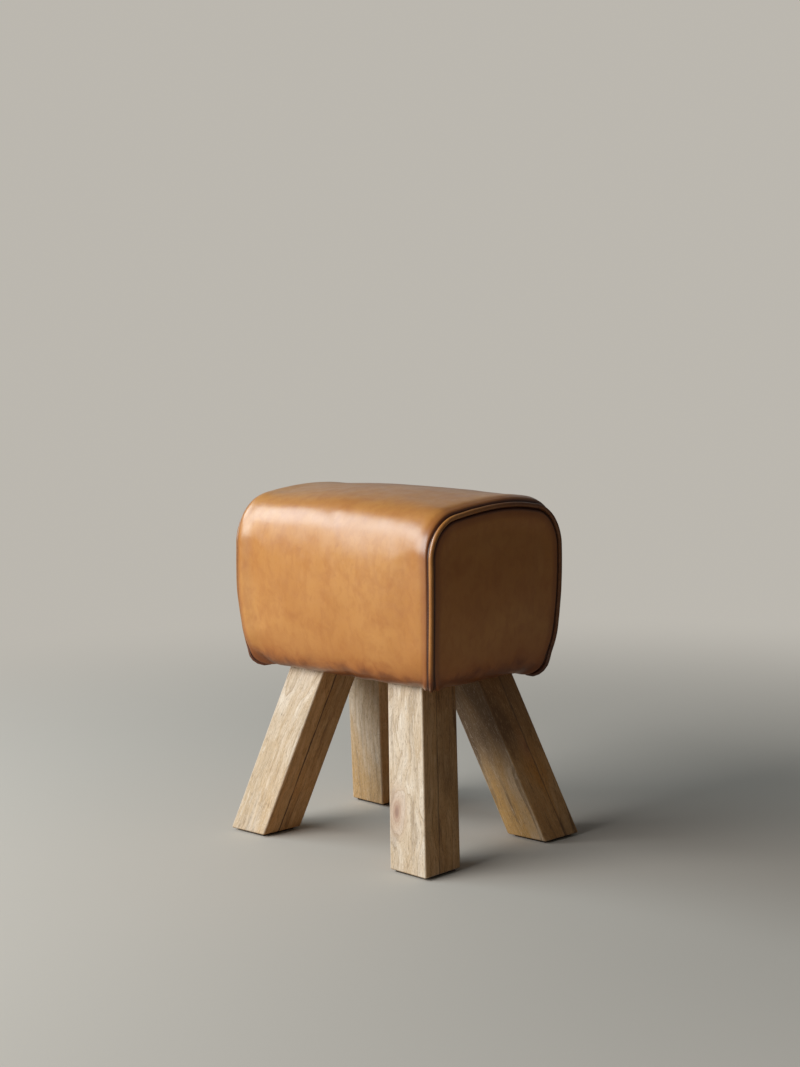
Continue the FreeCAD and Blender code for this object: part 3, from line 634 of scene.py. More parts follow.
def timber_material(name, timber, side_x, side_y, shift, tone, knots=()):
    """Limed timber whose grain runs up a splayed leg, with the tone of a board and its knots, and with painted shade at
    its top; its golden foot, warmer side faces and lighter edges are partly painted light.
    """
    r = Recipe(name)
    gold, stain, grey, top_shade, glued, edge_light = tone
    lean = Matrix.Rotation(timber.splay, 3, Vector((side_y, -side_x, 0)).normalized())
    back = lean.inverted()
    foot = Vector((side_x * timber.foot_x, side_y * timber.foot_y, timber.foot_z))
    leg = r.turned(rotation=back.to_euler("XYZ"), location=-(back @ foot))
    u, v, w = r.parts(leg)

    bend = r.cloud(r.turned(source=leg, scale=(11, 11, 7), location=(shift, 2 * shift, 3 * shift)), 1, 2, 0.5)
    drift = r.cloud(r.turned(source=leg, scale=(40, 40, 16), location=(4 * shift, shift, 2 * shift)), 1, 2, 0.5)
    waver = r.sum("MULTIPLY", r.sum("SUBTRACT", drift, 0.5), 0.0045)
    sway = r.sum("MULTIPLY_ADD", r.sum("SUBTRACT", bend, 0.5), 0.034, waver)
    swirl = None
    for across_x, across_y, up, size in knots:
        middle = (-across_x / size, -across_y / size, -KNOT_DRAWN * up / size)
        reach = r.nodes.new("ShaderNodeVectorMath")
        reach.operation = "LENGTH"
        r.feed(reach.inputs[0], r.turned(scale=(1 / size, 1 / size, KNOT_DRAWN / size), source=leg, location=middle))
        away = r.sum("MULTIPLY_ADD", r.sum("SUBTRACT", drift, 0.5), 1.6, reach.outputs["Value"])
        swirl = away if swirl is None else r.sum("MINIMUM", swirl, away)
        sway = r.sum("MULTIPLY_ADD", r.span(swirl, 4.0, 0.4, 0, 1), 0.009, sway)
    grain_place = r.joined(r.sum("ADD", u, sway), r.sum("SUBTRACT", v, sway), w)

    def grained(scale, length, detail=3.0, distortion=0.0, move=0.0):
        """Noise drawn out along the grain."""
        spot = (shift + move, 1.7 * shift - move, 0.6 * shift + 2 * move)
        place = r.turned(source=grain_place, scale=(scale, scale, scale * length), location=spot)
        return r.cloud(place, 1, detail, 0.6, distortion)

    ring_x, ring_y, _ = r.parts(grain_place)
    ring_place = r.joined(
        r.sum("ADD", ring_x, 0.043 + 0.011 * math.sin(3 * shift)),
        r.sum("ADD", ring_y, 0.05 * math.cos(2 * shift)),
        r.sum("MULTIPLY", w, 0.10),
    )
    rings = r.nodes.new("ShaderNodeTexWave")
    rings.wave_type, rings.rings_direction, rings.wave_profile = "RINGS", "Z", "SAW"
    r.feed(rings.inputs["Vector"], ring_place)
    wave = (("Scale", 40), ("Distortion", 3.0), ("Detail", 3), ("Detail Scale", 1.7), ("Detail Roughness", 0.62))
    for socket, value in wave:
        rings.inputs[socket].default_value = value
    ring = rings.outputs["Fac"]
    patch = grained(30, 0.30, 3, 0.3)
    mottle = grained(150, 0.20, 4, 0.3, 0.3)
    fibre = grained(560, 0.075, 4, 0.0, 1.1)
    pore = grained(1250, 0.15, 2, 0.0, 2.2)
    streak = grained(85, 0.045, 3, 0.25, 3.1)
    glow = grained(17, 0.26, 2, 0.3, 4.3)
    colour = r.layered(
        r.blend(r.span(patch, 0.36, 0.64), timber.lime, timber.straw),
        (mottle, 0.36, 0.66, 0.45, SAND),
        (mottle, 0.46, 0.30, 0.55, CHALK),
    )
    early = r.sum("MULTIPLY", r.span(ring, 0.30, 0.98, 0, 0.55), r.span(patch, 0.62, 0.40, 0.35, 1))
    colour = r.blend(early, colour, timber.straw)
    late = r.sum("MULTIPLY", r.span(ring, 0.86, 1.0, 0, 0.45), r.span(mottle, 0.3, 0.6, 0.3, 1))
    colour = r.blend(late, colour, timber.umber)
    # Gold patches, strongest towards the foot: partly the wood's tone, partly painted light from the floor
    golden = r.sum("MULTIPLY", r.span(glow, 0.42, 0.62, 0.15 * gold**2, gold), r.span(w, 0.17, 0.03, 0.35, 1))
    colour = r.blend(golden, colour, GOLD)
    # Painted shade at the top of the leg, under the seat
    dusk = r.sum("MULTIPLY", r.span(w, 0.085, 0.165, 0, top_shade), r.span(glow, 0.66, 0.40, 0.60, 1))
    colour = r.blend(dusk, colour, SEAT_SHADE_BROWN)
    colour = r.blend(r.span(glow, 0.52, 0.36, 0.12 * grey, 0.85 * grey), colour, WEATHERED)
    colour = r.layered(
        colour,
        (streak, 0.54, 0.68, 0.80 * stain, STAIN),
        (fibre, 0.50, 0.74, 0.48, timber.umber),
        (fibre, 0.46, 0.28, 0.42, timber.lime),
        (pore, 0.57, 0.68, 0.55, OPEN_PORE),
        (pore, 0.40, 0.31, 0.42, FILLED_PORE),
    )
    if swirl is not None:
        ringed = r.sum("SINE", r.sum("MULTIPLY", swirl, 11.0))
        eye = r.span(r.sum("MULTIPLY_ADD", ringed, 0.16, swirl), 1.6, 0.2, 0, 0.70)
        colour = r.blend(r.span(swirl, 4.2, 1.0, 0, 0.46), colour, KNOT_RING)
        colour = r.blend(eye, colour, KNOT_EYE)
        colour = r.blend(r.span(swirl, 0.42, 0.20, 0, 0.3), colour, KNOT_HEART)
    # The faces that look along the seat are tinted warmer and brighter in red: partly their own tone, partly painted
    # light in their shade
    facing = r.nodes.new("ShaderNodeVectorMath")
    facing.operation = "DOT_PRODUCT"
    r.feed(facing.inputs[0], r.nodes.new("ShaderNodeNewGeometry").outputs["Normal"])
    r.feed(facing.inputs[1], lean @ Vector((1, 0, 0)))
    edge_face = r.span(r.sum("ABSOLUTE", facing.outputs["Value"]), 0.6, 0.8)
    colour = r.blend(edge_face, colour, SIDE_FACE_SHADE, "MULTIPLY")
    half = timber.side / 2
    near_x = r.sum("DIVIDE", r.sum("ABSOLUTE", u), half)
    near_y = r.sum("DIVIDE", r.sum("ABSOLUTE", v), half)
    # Lighter edges: partly rubbed wear, partly painted highlight, weakest on the shaded back right leg
    corner = r.sum("MULTIPLY", near_x, near_y)
    lit_worn_edge = r.sum("MULTIPLY", r.span(corner, 0.90, 0.97), r.span(patch, 0.3, 0.6, 0.35, 0.9))
    colour = r.blend(r.sum("MULTIPLY", lit_worn_edge, edge_light), colour, LIT_WORN_EDGE)
    joint = half - timber.outer_board
    glue = r.sum("ABSOLUTE", r.sum("SUBTRACT", r.sum("MULTIPLY", v, side_y), joint))
    glue = r.sum("MULTIPLY_ADD", r.sum("SUBTRACT", mottle, 0.5), 0.0040, glue)
    colour = r.blend(r.span(glue, 0.0016, 0.0003, 0, glued), colour, GLUE_LINE)
    height = r.sum("MULTIPLY_ADD", fibre, 0.6, r.sum("MULTIPLY", pore, 0.9))
    normal = r.relief(height, 0.00035, 0.7)
    normal = r.relief(ring, 0.00014, 0.4, normal)
    rough = r.span(mottle, 0.3, 0.7, 0.48, 0.66)
    return r.finish(colour, rough, normal, Specular_IOR_Level=0.5)


def plywood_material(name, shift):
    """Plain birch plywood: fine flat grain, and darker plies where an edge shows."""
    r = Recipe(name)
    grain = r.cloud(r.turned(scale=(0.05, 1, 1), location=(shift, 0, shift)), 260, 4, 0.6, 0.5)
    plies = r.nodes.new("ShaderNodeTexWave")
    plies.bands_direction = "Z"
    r.feed(plies.inputs["Vector"], r.place)
    plies.inputs["Scale"].default_value = 105
    plies.inputs["Distortion"].default_value = 0.4
    colour = r.blend(r.span(grain, 0.3, 0.7), (0.56, 0.40, 0.24), (0.74, 0.58, 0.38))
    colour = r.blend(r.span(plies.outputs["Fac"], 0.55, 0.9, 0, 0.35), colour, (0.36, 0.22, 0.12))
    return r.finish(colour, r.span(grain, 0.3, 0.7, 0.6, 0.75), r.relief(grain, 0.0002, 0.5))


def cloth_material(name, dark, light):
    """Pressed black lining cloth with its spotted weave."""
    r = Recipe(name)
    fibre = r.cloud(r.place, 1400, 4, 0.7)
    dots = r.cells(r.place, 620, randomness=0.25)
    colour = r.blend(r.span(fibre, 0.35, 0.7), dark, light)
    colour = r.blend(r.span(dots, 0.25, 0.05, 0, 0.6), colour, dark)
    height = r.sum("MULTIPLY_ADD", dots, 0.8, fibre)
    return r.finish(colour, r.span(fibre, 0.3, 0.7, 0.80, 0.95), r.relief(height, 0.00025, 0.8), Sheen_Weight=0.2)


def rubber_material(name):
    """Black felted rubber of the foot pads, dusty at its rim."""
    r = Recipe(name)
    fibre = r.cloud(r.place, 1900, 4, 0.7)
    dust = r.cloud(r.place, 70, 3, 0.6)
    colour = r.blend(r.span(fibre, 0.3, 0.7), (0.012, 0.012, 0.012), (0.035, 0.033, 0.030))
    colour = r.blend(r.span(dust, 0.55, 0.75, 0, 0.35), colour, (0.12, 0.105, 0.085))
    return r.finish(colour, r.span(fibre, 0.3, 0.7, 0.78, 0.92), r.relief(fibre, 0.0002, 0.7))


def steel_material(name):
    """Zinc-plated steel with a fine brushed streak and dull patches."""
    r = Recipe(name)
    streak = r.cloud(r.turned(scale=(1, 1, 0.04)), 2200, 3, 0.6)
    patch = r.cloud(r.place, 160, 3, 0.6)
    colour = r.blend(r.span(patch, 0.35, 0.7), (0.58, 0.58, 0.57), (0.70, 0.69, 0.65))
    return r.finish(colour, r.span(streak, 0.3, 0.7, 0.25, 0.42), r.relief(streak, 0.00005, 0.5), Metallic=1.0)


def foam_material(name):
    """Cream upholstery foam with open cells."""
    r = Recipe(name)
    cells = r.cells(r.place, 900)
    tone = r.cloud(r.place, 30, 3, 0.5)
    colour = r.blend(r.span(tone, 0.3, 0.7), (0.74, 0.68, 0.48), (0.84, 0.80, 0.64))
    return r.finish(colour, r.span(cells, 0.1, 0.6, 0.85, 0.95), r.relief(cells, 0.0004, 0.8))


def thread_material(name):
    """Waxed brown sewing thread with its twist."""
    r = Recipe(name)
    twist = r.cloud(r.turned(scale=(1, 1, 2)), 3200, 2, 0.6)
    colour = r.blend(r.span(twist, 0.3, 0.7), (0.10, 0.034, 0.011), (0.20, 0.080, 0.028))
    return r.finish(colour, r.span(twist, 0.3, 0.7, 0.5, 0.65), r.relief(twist, 0.00008, 0.6))


# Covers

# Gathers at the bottom corners, as (dent, lifted hem, pointed fold, drooping tip, reach of the tip)
TUCKS = {
    (-1, -1): (0.0042, 0.0046, 0.0006, 0.0038, 0.0120),
    (1, -1): (0.0008, 0.0002, 0.0034, 0.0052, 0.0125),
    (-1, 1): (0.0040, 0.0022, 0.0014, 0.0020, 0.0085),
    (1, 1): (0.0006, 0.0006, 0.0010, 0.0066, 0.0150),
}


def eased(value, low, high):
    """A smooth step from 0 at low to 1 at high."""
    share = min(max((value - low) / (high - low), 0.0), 1.0)
    return share * share * (3 - 2 * share)


def hill(value, middle, width):
    """A smooth rise to 1 about a middle."""
    return math.exp(-(((value - middle) / width) ** 2))


def hem_pull(form, point, normal, seam):
    """How far the leather moves at a bottom corner, and the painted shade of its folds."""
    low = eased(point.z, form.underside + 0.030, form.underside)
    clear = max(eased(abs(point.x), 0.138, 0.150), eased(abs(point.y), 0.081, 0.092))
    out = eased(abs(point.x), 0.122, 0.148) * clear
    if low <= 0 or out <= 0 or seam > 0.085:
        return Vector((0, 0, 0)), 0.0
    dent, lift, fold, droop, reach = TUCKS[(1 if point.x > 0 else -1, 1 if point.y > 0 else -1)]
    tuck = dent * hill(seam, 0.0160, 0.0085) * low**1.7
    recess = fold * hill(seam, 0.0035, 0.0012 + 0.004 * low) * low**2
    crest = 0.5 * fold * hill(seam, 0.0100, 0.0032) * low**2
    raised = lift * hill(seam, 0.028, 0.011) * low**2
    fallen = droop * hill(seam, 0.0, reach) * low
    # Painted shade in the dent of the tuck and in the recess of the pointed fold
    shade = min(1.0, (tuck / 0.0036 + recess / 0.0030) * out)
    return normal * ((crest - tuck - recess) * out) + Vector((0, 0, (raised - fallen) * out)), shade


def hand_set(point):
    """The unevenness of a seat that was stuffed by hand: fuller at its left end and along the top, and its hem sags."""
    # The left end is fuller below its shoulder and at its hem, and the tip of its front corner stands out
    left = eased(-point.x, 0.05, 0.18)
    low = 0.0038 * eased(point.z, 0.390, 0.315) + 0.0048 * eased(point.z, 0.266, 0.236)
    tip = eased(point.z, 0.246, 0.228) * eased(-point.x, 0.145, 0.165) * eased(-point.y, 0.075, 0.100)
    shift = left * (0.0072 + low) + 0.0030 * tip
    # Its front edge is rounder, and the right end's back corner is squarer at the hem and drawn in above
    round_back = eased(-point.x, 0.166, 0.182) * eased(-point.y, 0.085, 0.112) * eased(point.z, 0.226, 0.250)
    square = eased(point.z, 0.250, 0.231) * eased(point.x, 0.136, 0.158) * eased(point.y, 0.066, 0.094)
    drawn = hill(point.z, 0.264, 0.016) * eased(point.x, 0.140, 0.165) * eased(point.y, 0.070, 0.100)
    across = 0.0045 * round_back - 0.0040 * tip + 0.0030 * square - 0.0008 * drawn
    # The top rises to the left and to the back
    high = eased(point.z, 0.395, 0.450)
    leftward = min(max((0.10 - point.x) / 0.28, 0.0), 1.0)
    far = eased(point.y, -0.04, 0.06)
    rise = (0.0016 * (1 - (1 - far) * eased(point.x, 0.10, 0.18)) + 0.0030 * leftward + 0.0014 * far) * high
    # The hem sags outside the base board
    sag = max(0.0028 * eased(abs(point.x), 0.136, 0.154), 0.0015 * eased(abs(point.y), 0.078, 0.092))
    sag *= eased(point.z, 0.241, 0.225)
    return Vector((point.x - shift, point.y + across, point.z + rise - sag))


def looseness(form, near, z, start, length):
    """How free a point of a cover is: held at the hem and up to start from the seam, and free a length further in."""
    hold = min(1.0, max(0.0, (near - start) / length))
    rise = min(1.0, max(0.0, (z - form.underside - 0.006) / 0.045))
    return (hold * hold * (3 - 2 * hold)) * (rise * rise * (3 - 2 * rise))


def dress(piece, form, leather, seam, walk, freedom):
    """Gives a settled cover its seam allowance, hand-made unevenness and gathered corners, its seam values, and the
    painted shade of its folds.
    """
    mesh = piece.data
    mesh.update()
    normals = [vertex.normal.copy() for vertex in mesh.vertices]
    painted_fold_shade = []
    for index, vertex in enumerate(mesh.vertices):
        point, near = vertex.co.copy(), seam[index]
        # The seam allowance shows through, beside the groove at the piping, and the hide is slightly uneven
        edge = 1 - eased(near, leather.allowance, leather.allowance + 0.0034)
        groove = 1 - eased(near, 0.0024, 0.0062)
        uneven = 1 + 0.35 * noise.noise(Vector((walk[index] * 16, 3.1, 0)))
        push = leather.allowance_rise * edge * uneven - (leather.groove + leather.allowance_rise) * groove
        push += 0.0008 * freedom[index] * noise.noise(point * 13)
        push += 0.0004 * freedom[index] * noise.noise(point * 31 + Vector((4, 1, 0)))
        if point.z < form.underside + 0.0008:
            push *= 0.2
        # The padding stands up beside the end seams, and the hem is puckered
        upper = eased(point.z, 0.28, 0.40) if point.x > 0 else eased(point.z, 0.235, 0.265)
        full = 1.5 if point.x < 0 else 0.45 + 0.8 * eased(point.z, 0.40, 0.44) * eased(point.y, -0.02, 0.06)
        push += leather.puff * hill(near, 0.0155, 0.0110) * upper * full
        low = eased(point.z, form.underside + 0.032, form.underside + 0.004) * min(1.0, near / 0.03)
        sway = noise.noise(Vector((0, point.x * 24, point.y * 24))) + 0.5 * noise.noise(point * 55)
        push += (0.0020 if sway > 0 else 0.0012) * low * sway
        pull, shade = hem_pull(form, point, normals[index], near)
        vertex.co = hand_set(point + normals[index] * push + pull)
        # Painted shade in the corner folds, and where the hem's puckers dip in
        painted_fold_shade.append(min(1.0, shade + 0.9 * low * max(0.0, -sway)))
    for name, values in (("seam", seam), ("walk", walk), ("fold", painted_fold_shade)):
        kept = mesh.attributes.new(name, "FLOAT", "POINT")
        kept.data.foreach_set("value", values)
    mesh.update()


def turn_in(bm, seam_layer, edges, depth, inner):
    """Rolls an edge of the cover in between the layers of the seam, in three steps towards inner(vertex, step)."""
    for step in (0.35, 0.75, 1.0):
        grown = bmesh.ops.extrude_edge_only(bm, edges=edges)["geom"]
        ring = [item for item in grown if isinstance(item, bmesh.types.BMVert)]
        edges = [item for item in grown if isinstance(item, bmesh.types.BMEdge)]
        edges = [edge for edge in edges if all(vertex in ring for vertex in edge.verts)]
        for vertex in ring:
            vertex.co += inner(vertex, step) * depth
            vertex[seam_layer] = 0.0


def finish_cover(piece, leather):
    """Smooths a cover and gives the hide its thickness."""
    smooth = piece.modifiers.new("smooth", "SUBSURF")
    smooth.levels = smooth.render_levels = 1
    hide = piece.modifiers.new("hide", "SOLIDIFY")
    hide.thickness, hide.offset = leather.thickness, -1


def wrap_cover(form, leather, material):
    """The strip over the front, the top and the back, hemmed under the base."""
    marks = stations(side_route(form, 0.5), leather.grid)
    seam_line = seam_points(form, marks)
    rows = len(marks) - 1
    middle = 2 * (form.end_shoulder_half - SEAM_STEPS[-1])
    inner = round(middle / leather.grid)
    columns = inner + 2 * (len(SEAM_STEPS) - 1)
    bm = bmesh.new()
    bmesh.ops.create_grid(bm, x_segments=columns, y_segments=rows, size=1)
    seam, walk, freedom = [0.0] * len(bm.verts), [0.0] * len(bm.verts), [0.0] * len(bm.verts)
    lengths = [0.0]
    for a, b in zip(seam_line, seam_line[1:]):
        lengths.append(lengths[-1] + (b - a).length)
    steps = len(SEAM_STEPS) - 1
    routes = {}
    for vertex in bm.verts:
        column = round((vertex.co.x + 1) / 2 * columns)
        row = round((vertex.co.y + 1) / 2 * rows)
        index, fraction = marks[row]
        reach = seam_line[row].x
        if column <= steps:
            x, near = -reach + SEAM_STEPS[column], SEAM_STEPS[column]
        elif column >= columns - steps:
            x, near = reach - SEAM_STEPS[columns - column], SEAM_STEPS[columns - column]
        else:
            x = (column - steps - inner / 2) / (inner / 2) * (reach - SEAM_STEPS[-1])
            near = reach - abs(x)
        share = round(abs(x) / form.end_shoulder_half, 5)
        if share not in routes:
            routes[share] = side_route(form, share)
        y, z = along_part(routes[share][index], fraction)
        vertex.co = Vector((x, y, z))
        seam[vertex.index], walk[vertex.index] = near, lengths[row]
        hem = abs(row - rows / 2) > rows / 2 - HEM_ROWS
        freedom[vertex.index] = 0.0 if hem else looseness(form, near, z, 0.012, 0.05)
    outward(bm, Vector((0, 0, form.height)), Vector((0, 0, 1)))
    piece = new_piece("leather_cover", to_mesh(bm, "leather_cover"), material)
    return piece, seam_line, lengths, seam, walk, freedom


def nearest_on(line, lengths, point):
    """The distance from a point to a seam, and how far along the seam that is."""
    best = (1e9, 0.0)
    for index, (start, end) in enumerate(zip(line, line[1:])):
        run = end - start
        share = min(max((point - start).dot(run) / run.length_squared, 0.0), 1.0)
        away = (point - start - run * share).length
        if away < best[0]:
            best = (away, lengths[index] + run.length * share)
    return best


def end_cover(form, leather, material, side_name, side, seam_line, lengths, marks):
    """One end panel, hemmed under the base, inside the loop of its seam."""
    last = len(marks) - 1
    turn = next(i for i, mark in enumerate(marks) if mark[0] == PANEL_CORNER[0] and mark[1] >= PANEL_CORNER[1])
    back_turn = last - turn
    fine = [step / leather.grid for step in SEAM_STEPS]
    columns = [turn + step for step in fine] + list(range(turn + 5, back_turn - 4))
    columns += [back_turn - step for step in reversed(fine)]
    rows = list(range(turn - 4)) + [turn - step for step in reversed(fine)]
    bm = bmesh.new()
    bmesh.ops.create_grid(bm, x_segments=len(columns) - 1, y_segments=len(rows) - 1, size=1)
    reference = end_route(form, form.shoulder_half)
    starts = [0.0]
    for start, end, _ in reference:
        starts.append(starts[-1] + (end - start).length)

    def unrolled(point):
        """A seam point laid flat, as (y, distance up the end panel)."""
        if point.z <= form.underside + 1e-6:
            return Vector((point.y, starts[1] - end_route(form, point.y)[0][1].x + point.x))
        index, fraction = climb(end_route(form, point.y), point.z)
        return Vector((point.y, starts[index] + (starts[index + 1] - starts[index]) * fraction))

    line = [unrolled(point) for point in seam_line]

    def at(place):
        """The point of the laid-flat seam at a place that may lie between two of its points."""
        index = min(int(place), last - 1)
        return line[index].lerp(line[index + 1], place - index)

    seam, walk, freedom = [0.0] * len(bm.verts), [0.0] * len(bm.verts), [0.0] * len(bm.verts)
    for vertex in bm.verts:
        column = round((vertex.co.x + 1) / 2 * (len(columns) - 1))
        row = round((vertex.co.y + 1) / 2 * (len(rows) - 1))
        u, v = (columns[column] - turn) / (back_turn - turn), rows[row] / turn
        rim = at(0).lerp(at(last), u) * (1 - v) + at(columns[column]) * v
        rim += at(rows[row]) * (1 - u) + at(last - rows[row]) * u
        low, high = at(0).lerp(at(last), u), at(turn).lerp(at(back_turn), u)
        y, q = rim - low.lerp(high, v)
        route = end_route(form, y)
        if q <= starts[1]:
            x, z = route[0][1].x - (starts[1] - q), form.underside
        else:
            index = max(i for i in range(len(reference)) if starts[i] <= q)
            x, z = along_part(route[index], min(1.0, (q - starts[index]) / (starts[index + 1] - starts[index])))
        near, passed = nearest_on(seam_line, lengths, Vector((x, y, z)))
        sewn = column in (0, len(columns) - 1) or row == len(rows) - 1
        seam[vertex.index], walk[vertex.index] = (0.0 if sewn else near), passed
        vertex.co = Vector((side * x, y, z))
        freedom[vertex.index] = looseness(form, near, z, 0.004, 0.045)
    outward(bm, Vector((side * 0.185, 0, BLOCK_MIDDLE)), Vector((side, 0, 0)))
    name = f"{side_name}_end_cover"
    return new_piece(name, to_mesh(bm, name), material), seam, walk, freedom


def slacken(piece, leather, freedom):
    """Draws the free part of a cover in, so that the padding has room to fill it."""
    normals = [vertex.normal.copy() for vertex in piece.data.vertices]
    for index, vertex in enumerate(piece.data.vertices):
        vertex.co -= normals[index] * leather.slack * freedom[index]


def roll_edges(piece, side_of):
    """Turns a cover's seam edges in beside the piping."""
    bm = bmesh.new()
    bm.from_mesh(piece.data)
    seam_layer = bm.verts.layers.float["seam"]
    bm.normal_update()
    edges = [edge for edge in bm.edges if edge.is_boundary and all(v[seam_layer] < 1e-6 for v in edge.verts)]
    rim = {vertex.index: (vertex.co.copy(), vertex.normal.copy()) for edge in edges for vertex in edge.verts}

    def inner(vertex, step):
        """First sideways under the piping, then down into the seam."""
        normal = min(rim.values(), key=lambda spot: (spot[0] - vertex.co).length)[1]
        return side_of(vertex) * (0.75 if step < 0.5 else 0.25) - normal * (0.25 if step < 0.5 else 0.9)

    turn_in(bm, seam_layer, edges, EDGE_TURN, inner)
    bm.to_mesh(piece.data)
    bm.free()
    for polygon in piece.data.polygons:
        polygon.use_smooth = True


class StoolCovers(bpy.types.Operator):
    """Sews the leather covers over the padding, with their piping and stitches"""

    bl_idname = "stool.covers"
    bl_label = "Leather covers and piping"

    def execute(self, context):
        form, leather = context.scene.stool_form, context.scene.stool_leather
        hide = leather_material("waxed_hide", leather, True)
        piece, seam_line, lengths, seam, walk, freedom = wrap_cover(form, leather, hide)
        covers = [(piece, seam, walk, freedom, None)]
        marks = stations(side_route(form, 0.5), leather.grid)
        for name, side in SIDES:
            panel, near, along, free = end_cover(form, leather, hide, name, side, seam_line, lengths, marks)
            covers.append((panel, near, along, free, side))
        for cover, near, along, free, side in covers:
            slacken(cover, leather, free)
            settle(cover, leather, free)
            dress(cover, form, leather, near, along, free)
            if side is None:
                roll_edges(cover, lambda vertex: Vector((1 if vertex.co.x > 0 else -1, 0, 0)))
            else:
                roll_edges(cover, lambda vertex: Vector((0, vertex.co.y, vertex.co.z - BLOCK_MIDDLE)).normalized())
            finish_cover(cover, leather)
        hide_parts("leather_wrap", "top_foam", "front_foam", "back_foam")
        for cover, (name, _) in zip(covers[1:], SIDES):
            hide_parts(f"{name}_end_panel", f"{name}_end_foam")
        for name, side in SIDES:
            self.pipe(form, leather, name, side, seam_line, lengths)
        return {"FINISHED"}

    def pipe(self, form, leather, name, side, seam_line, lengths):
        """Lays the piping and its stitches along one end seam."""
        # Painted shade on the piping: the left one darker at its front, the right one darker at its back
        painted_shade = (0.55, 0.35) if side < 0 else (0.12, 0.80)
        cord_hide = leather_material(f"piping_hide_{name}", leather, False, painted_shade)
        centres, outs, sizes = [], [], []
        for index, point in enumerate(seam_line):
            rise = point.z - form.underside
            if rise <= 1e-6:
                out = Vector((0, 0, -1))
            elif point.z > 0.42:
                out = Vector((1, 0, 0)) + self.side_normal(seam_line, index)
            else:
                out = Vector((1, point.y / 0.118, (point.z - BLOCK_MIDDLE) / 0.11 if point.z > 0.40 else 0))
                if rise < 0.02:
                    out = out.lerp(Vector((0, 0, -1.4)), 1 - rise / 0.02)
            out.normalize()
            at_side = Vector((side * point.x, point.y, point.z))
            sizes.append(1 - PIPING_PRESSED * eased(point.z, form.underside + 0.0030, form.underside + 0.0004))
            if side < 0 or point.y > 0:
                point = point + hem_pull(form, at_side, Vector((0, 0, 0)), 0.0)[0]
            sunk = eased(point.z, 0.330, 0.250) * eased(-point.y, 0.050, 0.095) if side < 0 else 0.0
            spot = point + out * (leather.piping * PIPING_STAND - PIPING_SUNK * sunk)
            centres.append(hand_set(Vector((side * spot.x, spot.y, spot.z))))
            outs.append(Vector((side * out.x, out.y, out.z)))
        fine_centres, fine_outs, fine_sizes = [centres[0]], [outs[0]], [sizes[0]]
        for index in range(1, len(centres)):
            fine_centres += [centres[index - 1].lerp(centres[index], 0.5), centres[index]]
            fine_outs += [outs[index - 1].lerp(outs[index], 0.5), outs[index]]
            fine_sizes += [(sizes[index - 1] + sizes[index]) / 2, sizes[index]]
        bm = bmesh.new()
        swept_tube(bm, fine_centres, fine_outs, fine_sizes, leather.piping, 12, wobble=0.05)
        tongue_sizes = [max(size, TONGUE_LEAST_SIZE) for size in fine_sizes]
        places = zip(fine_centres, fine_outs, tongue_sizes)
        tongue = [centre - out * size * TONGUE_DEPTH for centre, out, size in places]
        swept_tube(bm, tongue, fine_outs, tongue_sizes, TONGUE_HALF, 6, thin=TONGUE_THIN)
        bmesh.ops.recalc_face_normals(bm, faces=bm.faces)
        cord = new_piece(f"piping_cord_{name}", to_mesh(bm, f"piping_cord_{name}"), cord_hide)
        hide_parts(f"piping_{name}")
        self.stitch(form, leather, name, side, seam_line, lengths)

    def stitch(self, form, leather, name, side, seam_line, lengths):
        """Sews small stitches down both flanks of the piping."""
        pattern, bm = bmesh.new(), bmesh.new()
        bmesh.ops.create_uvsphere(pattern, u_segments=6, v_segments=4, radius=1)
        halves = (leather.stitch * STITCH_SHARE, THREAD_HALF, THREAD_HALF)
        bmesh.ops.scale(pattern, vec=halves, verts=pattern.verts)
        pattern = to_mesh(pattern, "stitch_pattern")
        count = int(lengths[-1] / leather.stitch)
        for number in range(2, count - 1):
            passed = number * leather.stitch
            index = max(i for i in range(len(lengths) - 1) if lengths[i] <= passed)
            start, end = seam_line[index], seam_line[index + 1]
            point = start.lerp(end, (passed - lengths[index]) / (lengths[index + 1] - lengths[index]))
            ahead = (end - start).normalized()
            wrap_out = self.side_normal(seam_line, index)
            for inward, out in ((Vector((-1, 0, 0)), wrap_out), (-wrap_out, Vector((1, 0, 0)))):
                spot = point + inward * STITCH_INSET - out * STITCH_SINK
                if spot.z < form.underside:
                    continue
                across = out.cross(ahead).normalized()
                turn = Matrix((ahead, across, ahead.cross(across))).transposed().to_4x4()
                moved = hand_set(Vector((side * spot.x, spot.y, spot.z)))
                stand = Matrix.Translation(moved) @ Matrix.Diagonal((side, 1, 1, 1)) @ turn
                bm.from_mesh(pattern)
                bm.verts.ensure_lookup_table()
                for vertex in bm.verts[-len(pattern.vertices) :]:
                    vertex.co = stand @ vertex.co
        bpy.data.meshes.remove(pattern)
        bmesh.ops.recalc_face_normals(bm, faces=bm.faces)
        thread = thread_material(f"waxed_thread_{name}")
        new_piece(f"seam_stitches_{name}", to_mesh(bm, f"seam_stitches_{name}"), thread)

    def side_normal(self, seam_line, index):
        """The wrap's outward direction at a seam point, in the plane across the seat."""
        before, after = seam_line[max(index - 1, 0)], seam_line[min(index + 1, len(seam_line) - 1)]
        run = after - before
        return Vector((0, -run.z, run.y)).normalized()


class StoolLegs(bpy.types.Operator):
    """Finishes the glued-up timber legs and their pads"""

    bl_idname = "stool.legs"
    bl_label = "Timber legs"

    def execute(self, context):
        timber = context.scene.stool_timber
        shift = 1.3
        for corner, side_x, side_y in CORNERS:
            for board, tone in zip(("outer", "inner"), BOARD_TONES[corner]):
                name = f"leg_{corner}_{board}_board"
                title = f"limed_timber_{corner}_{board}"
                knots = BOARD_KNOTS.get(name, ())
                refinish(name, timber_material(title, timber, side_x, side_y, shift, tone, knots))
                shift += 1.7
            refinish(f"foot_pad_{corner}", rubber_material(f"pad_rubber_{corner}"))
        return {"FINISHED"}


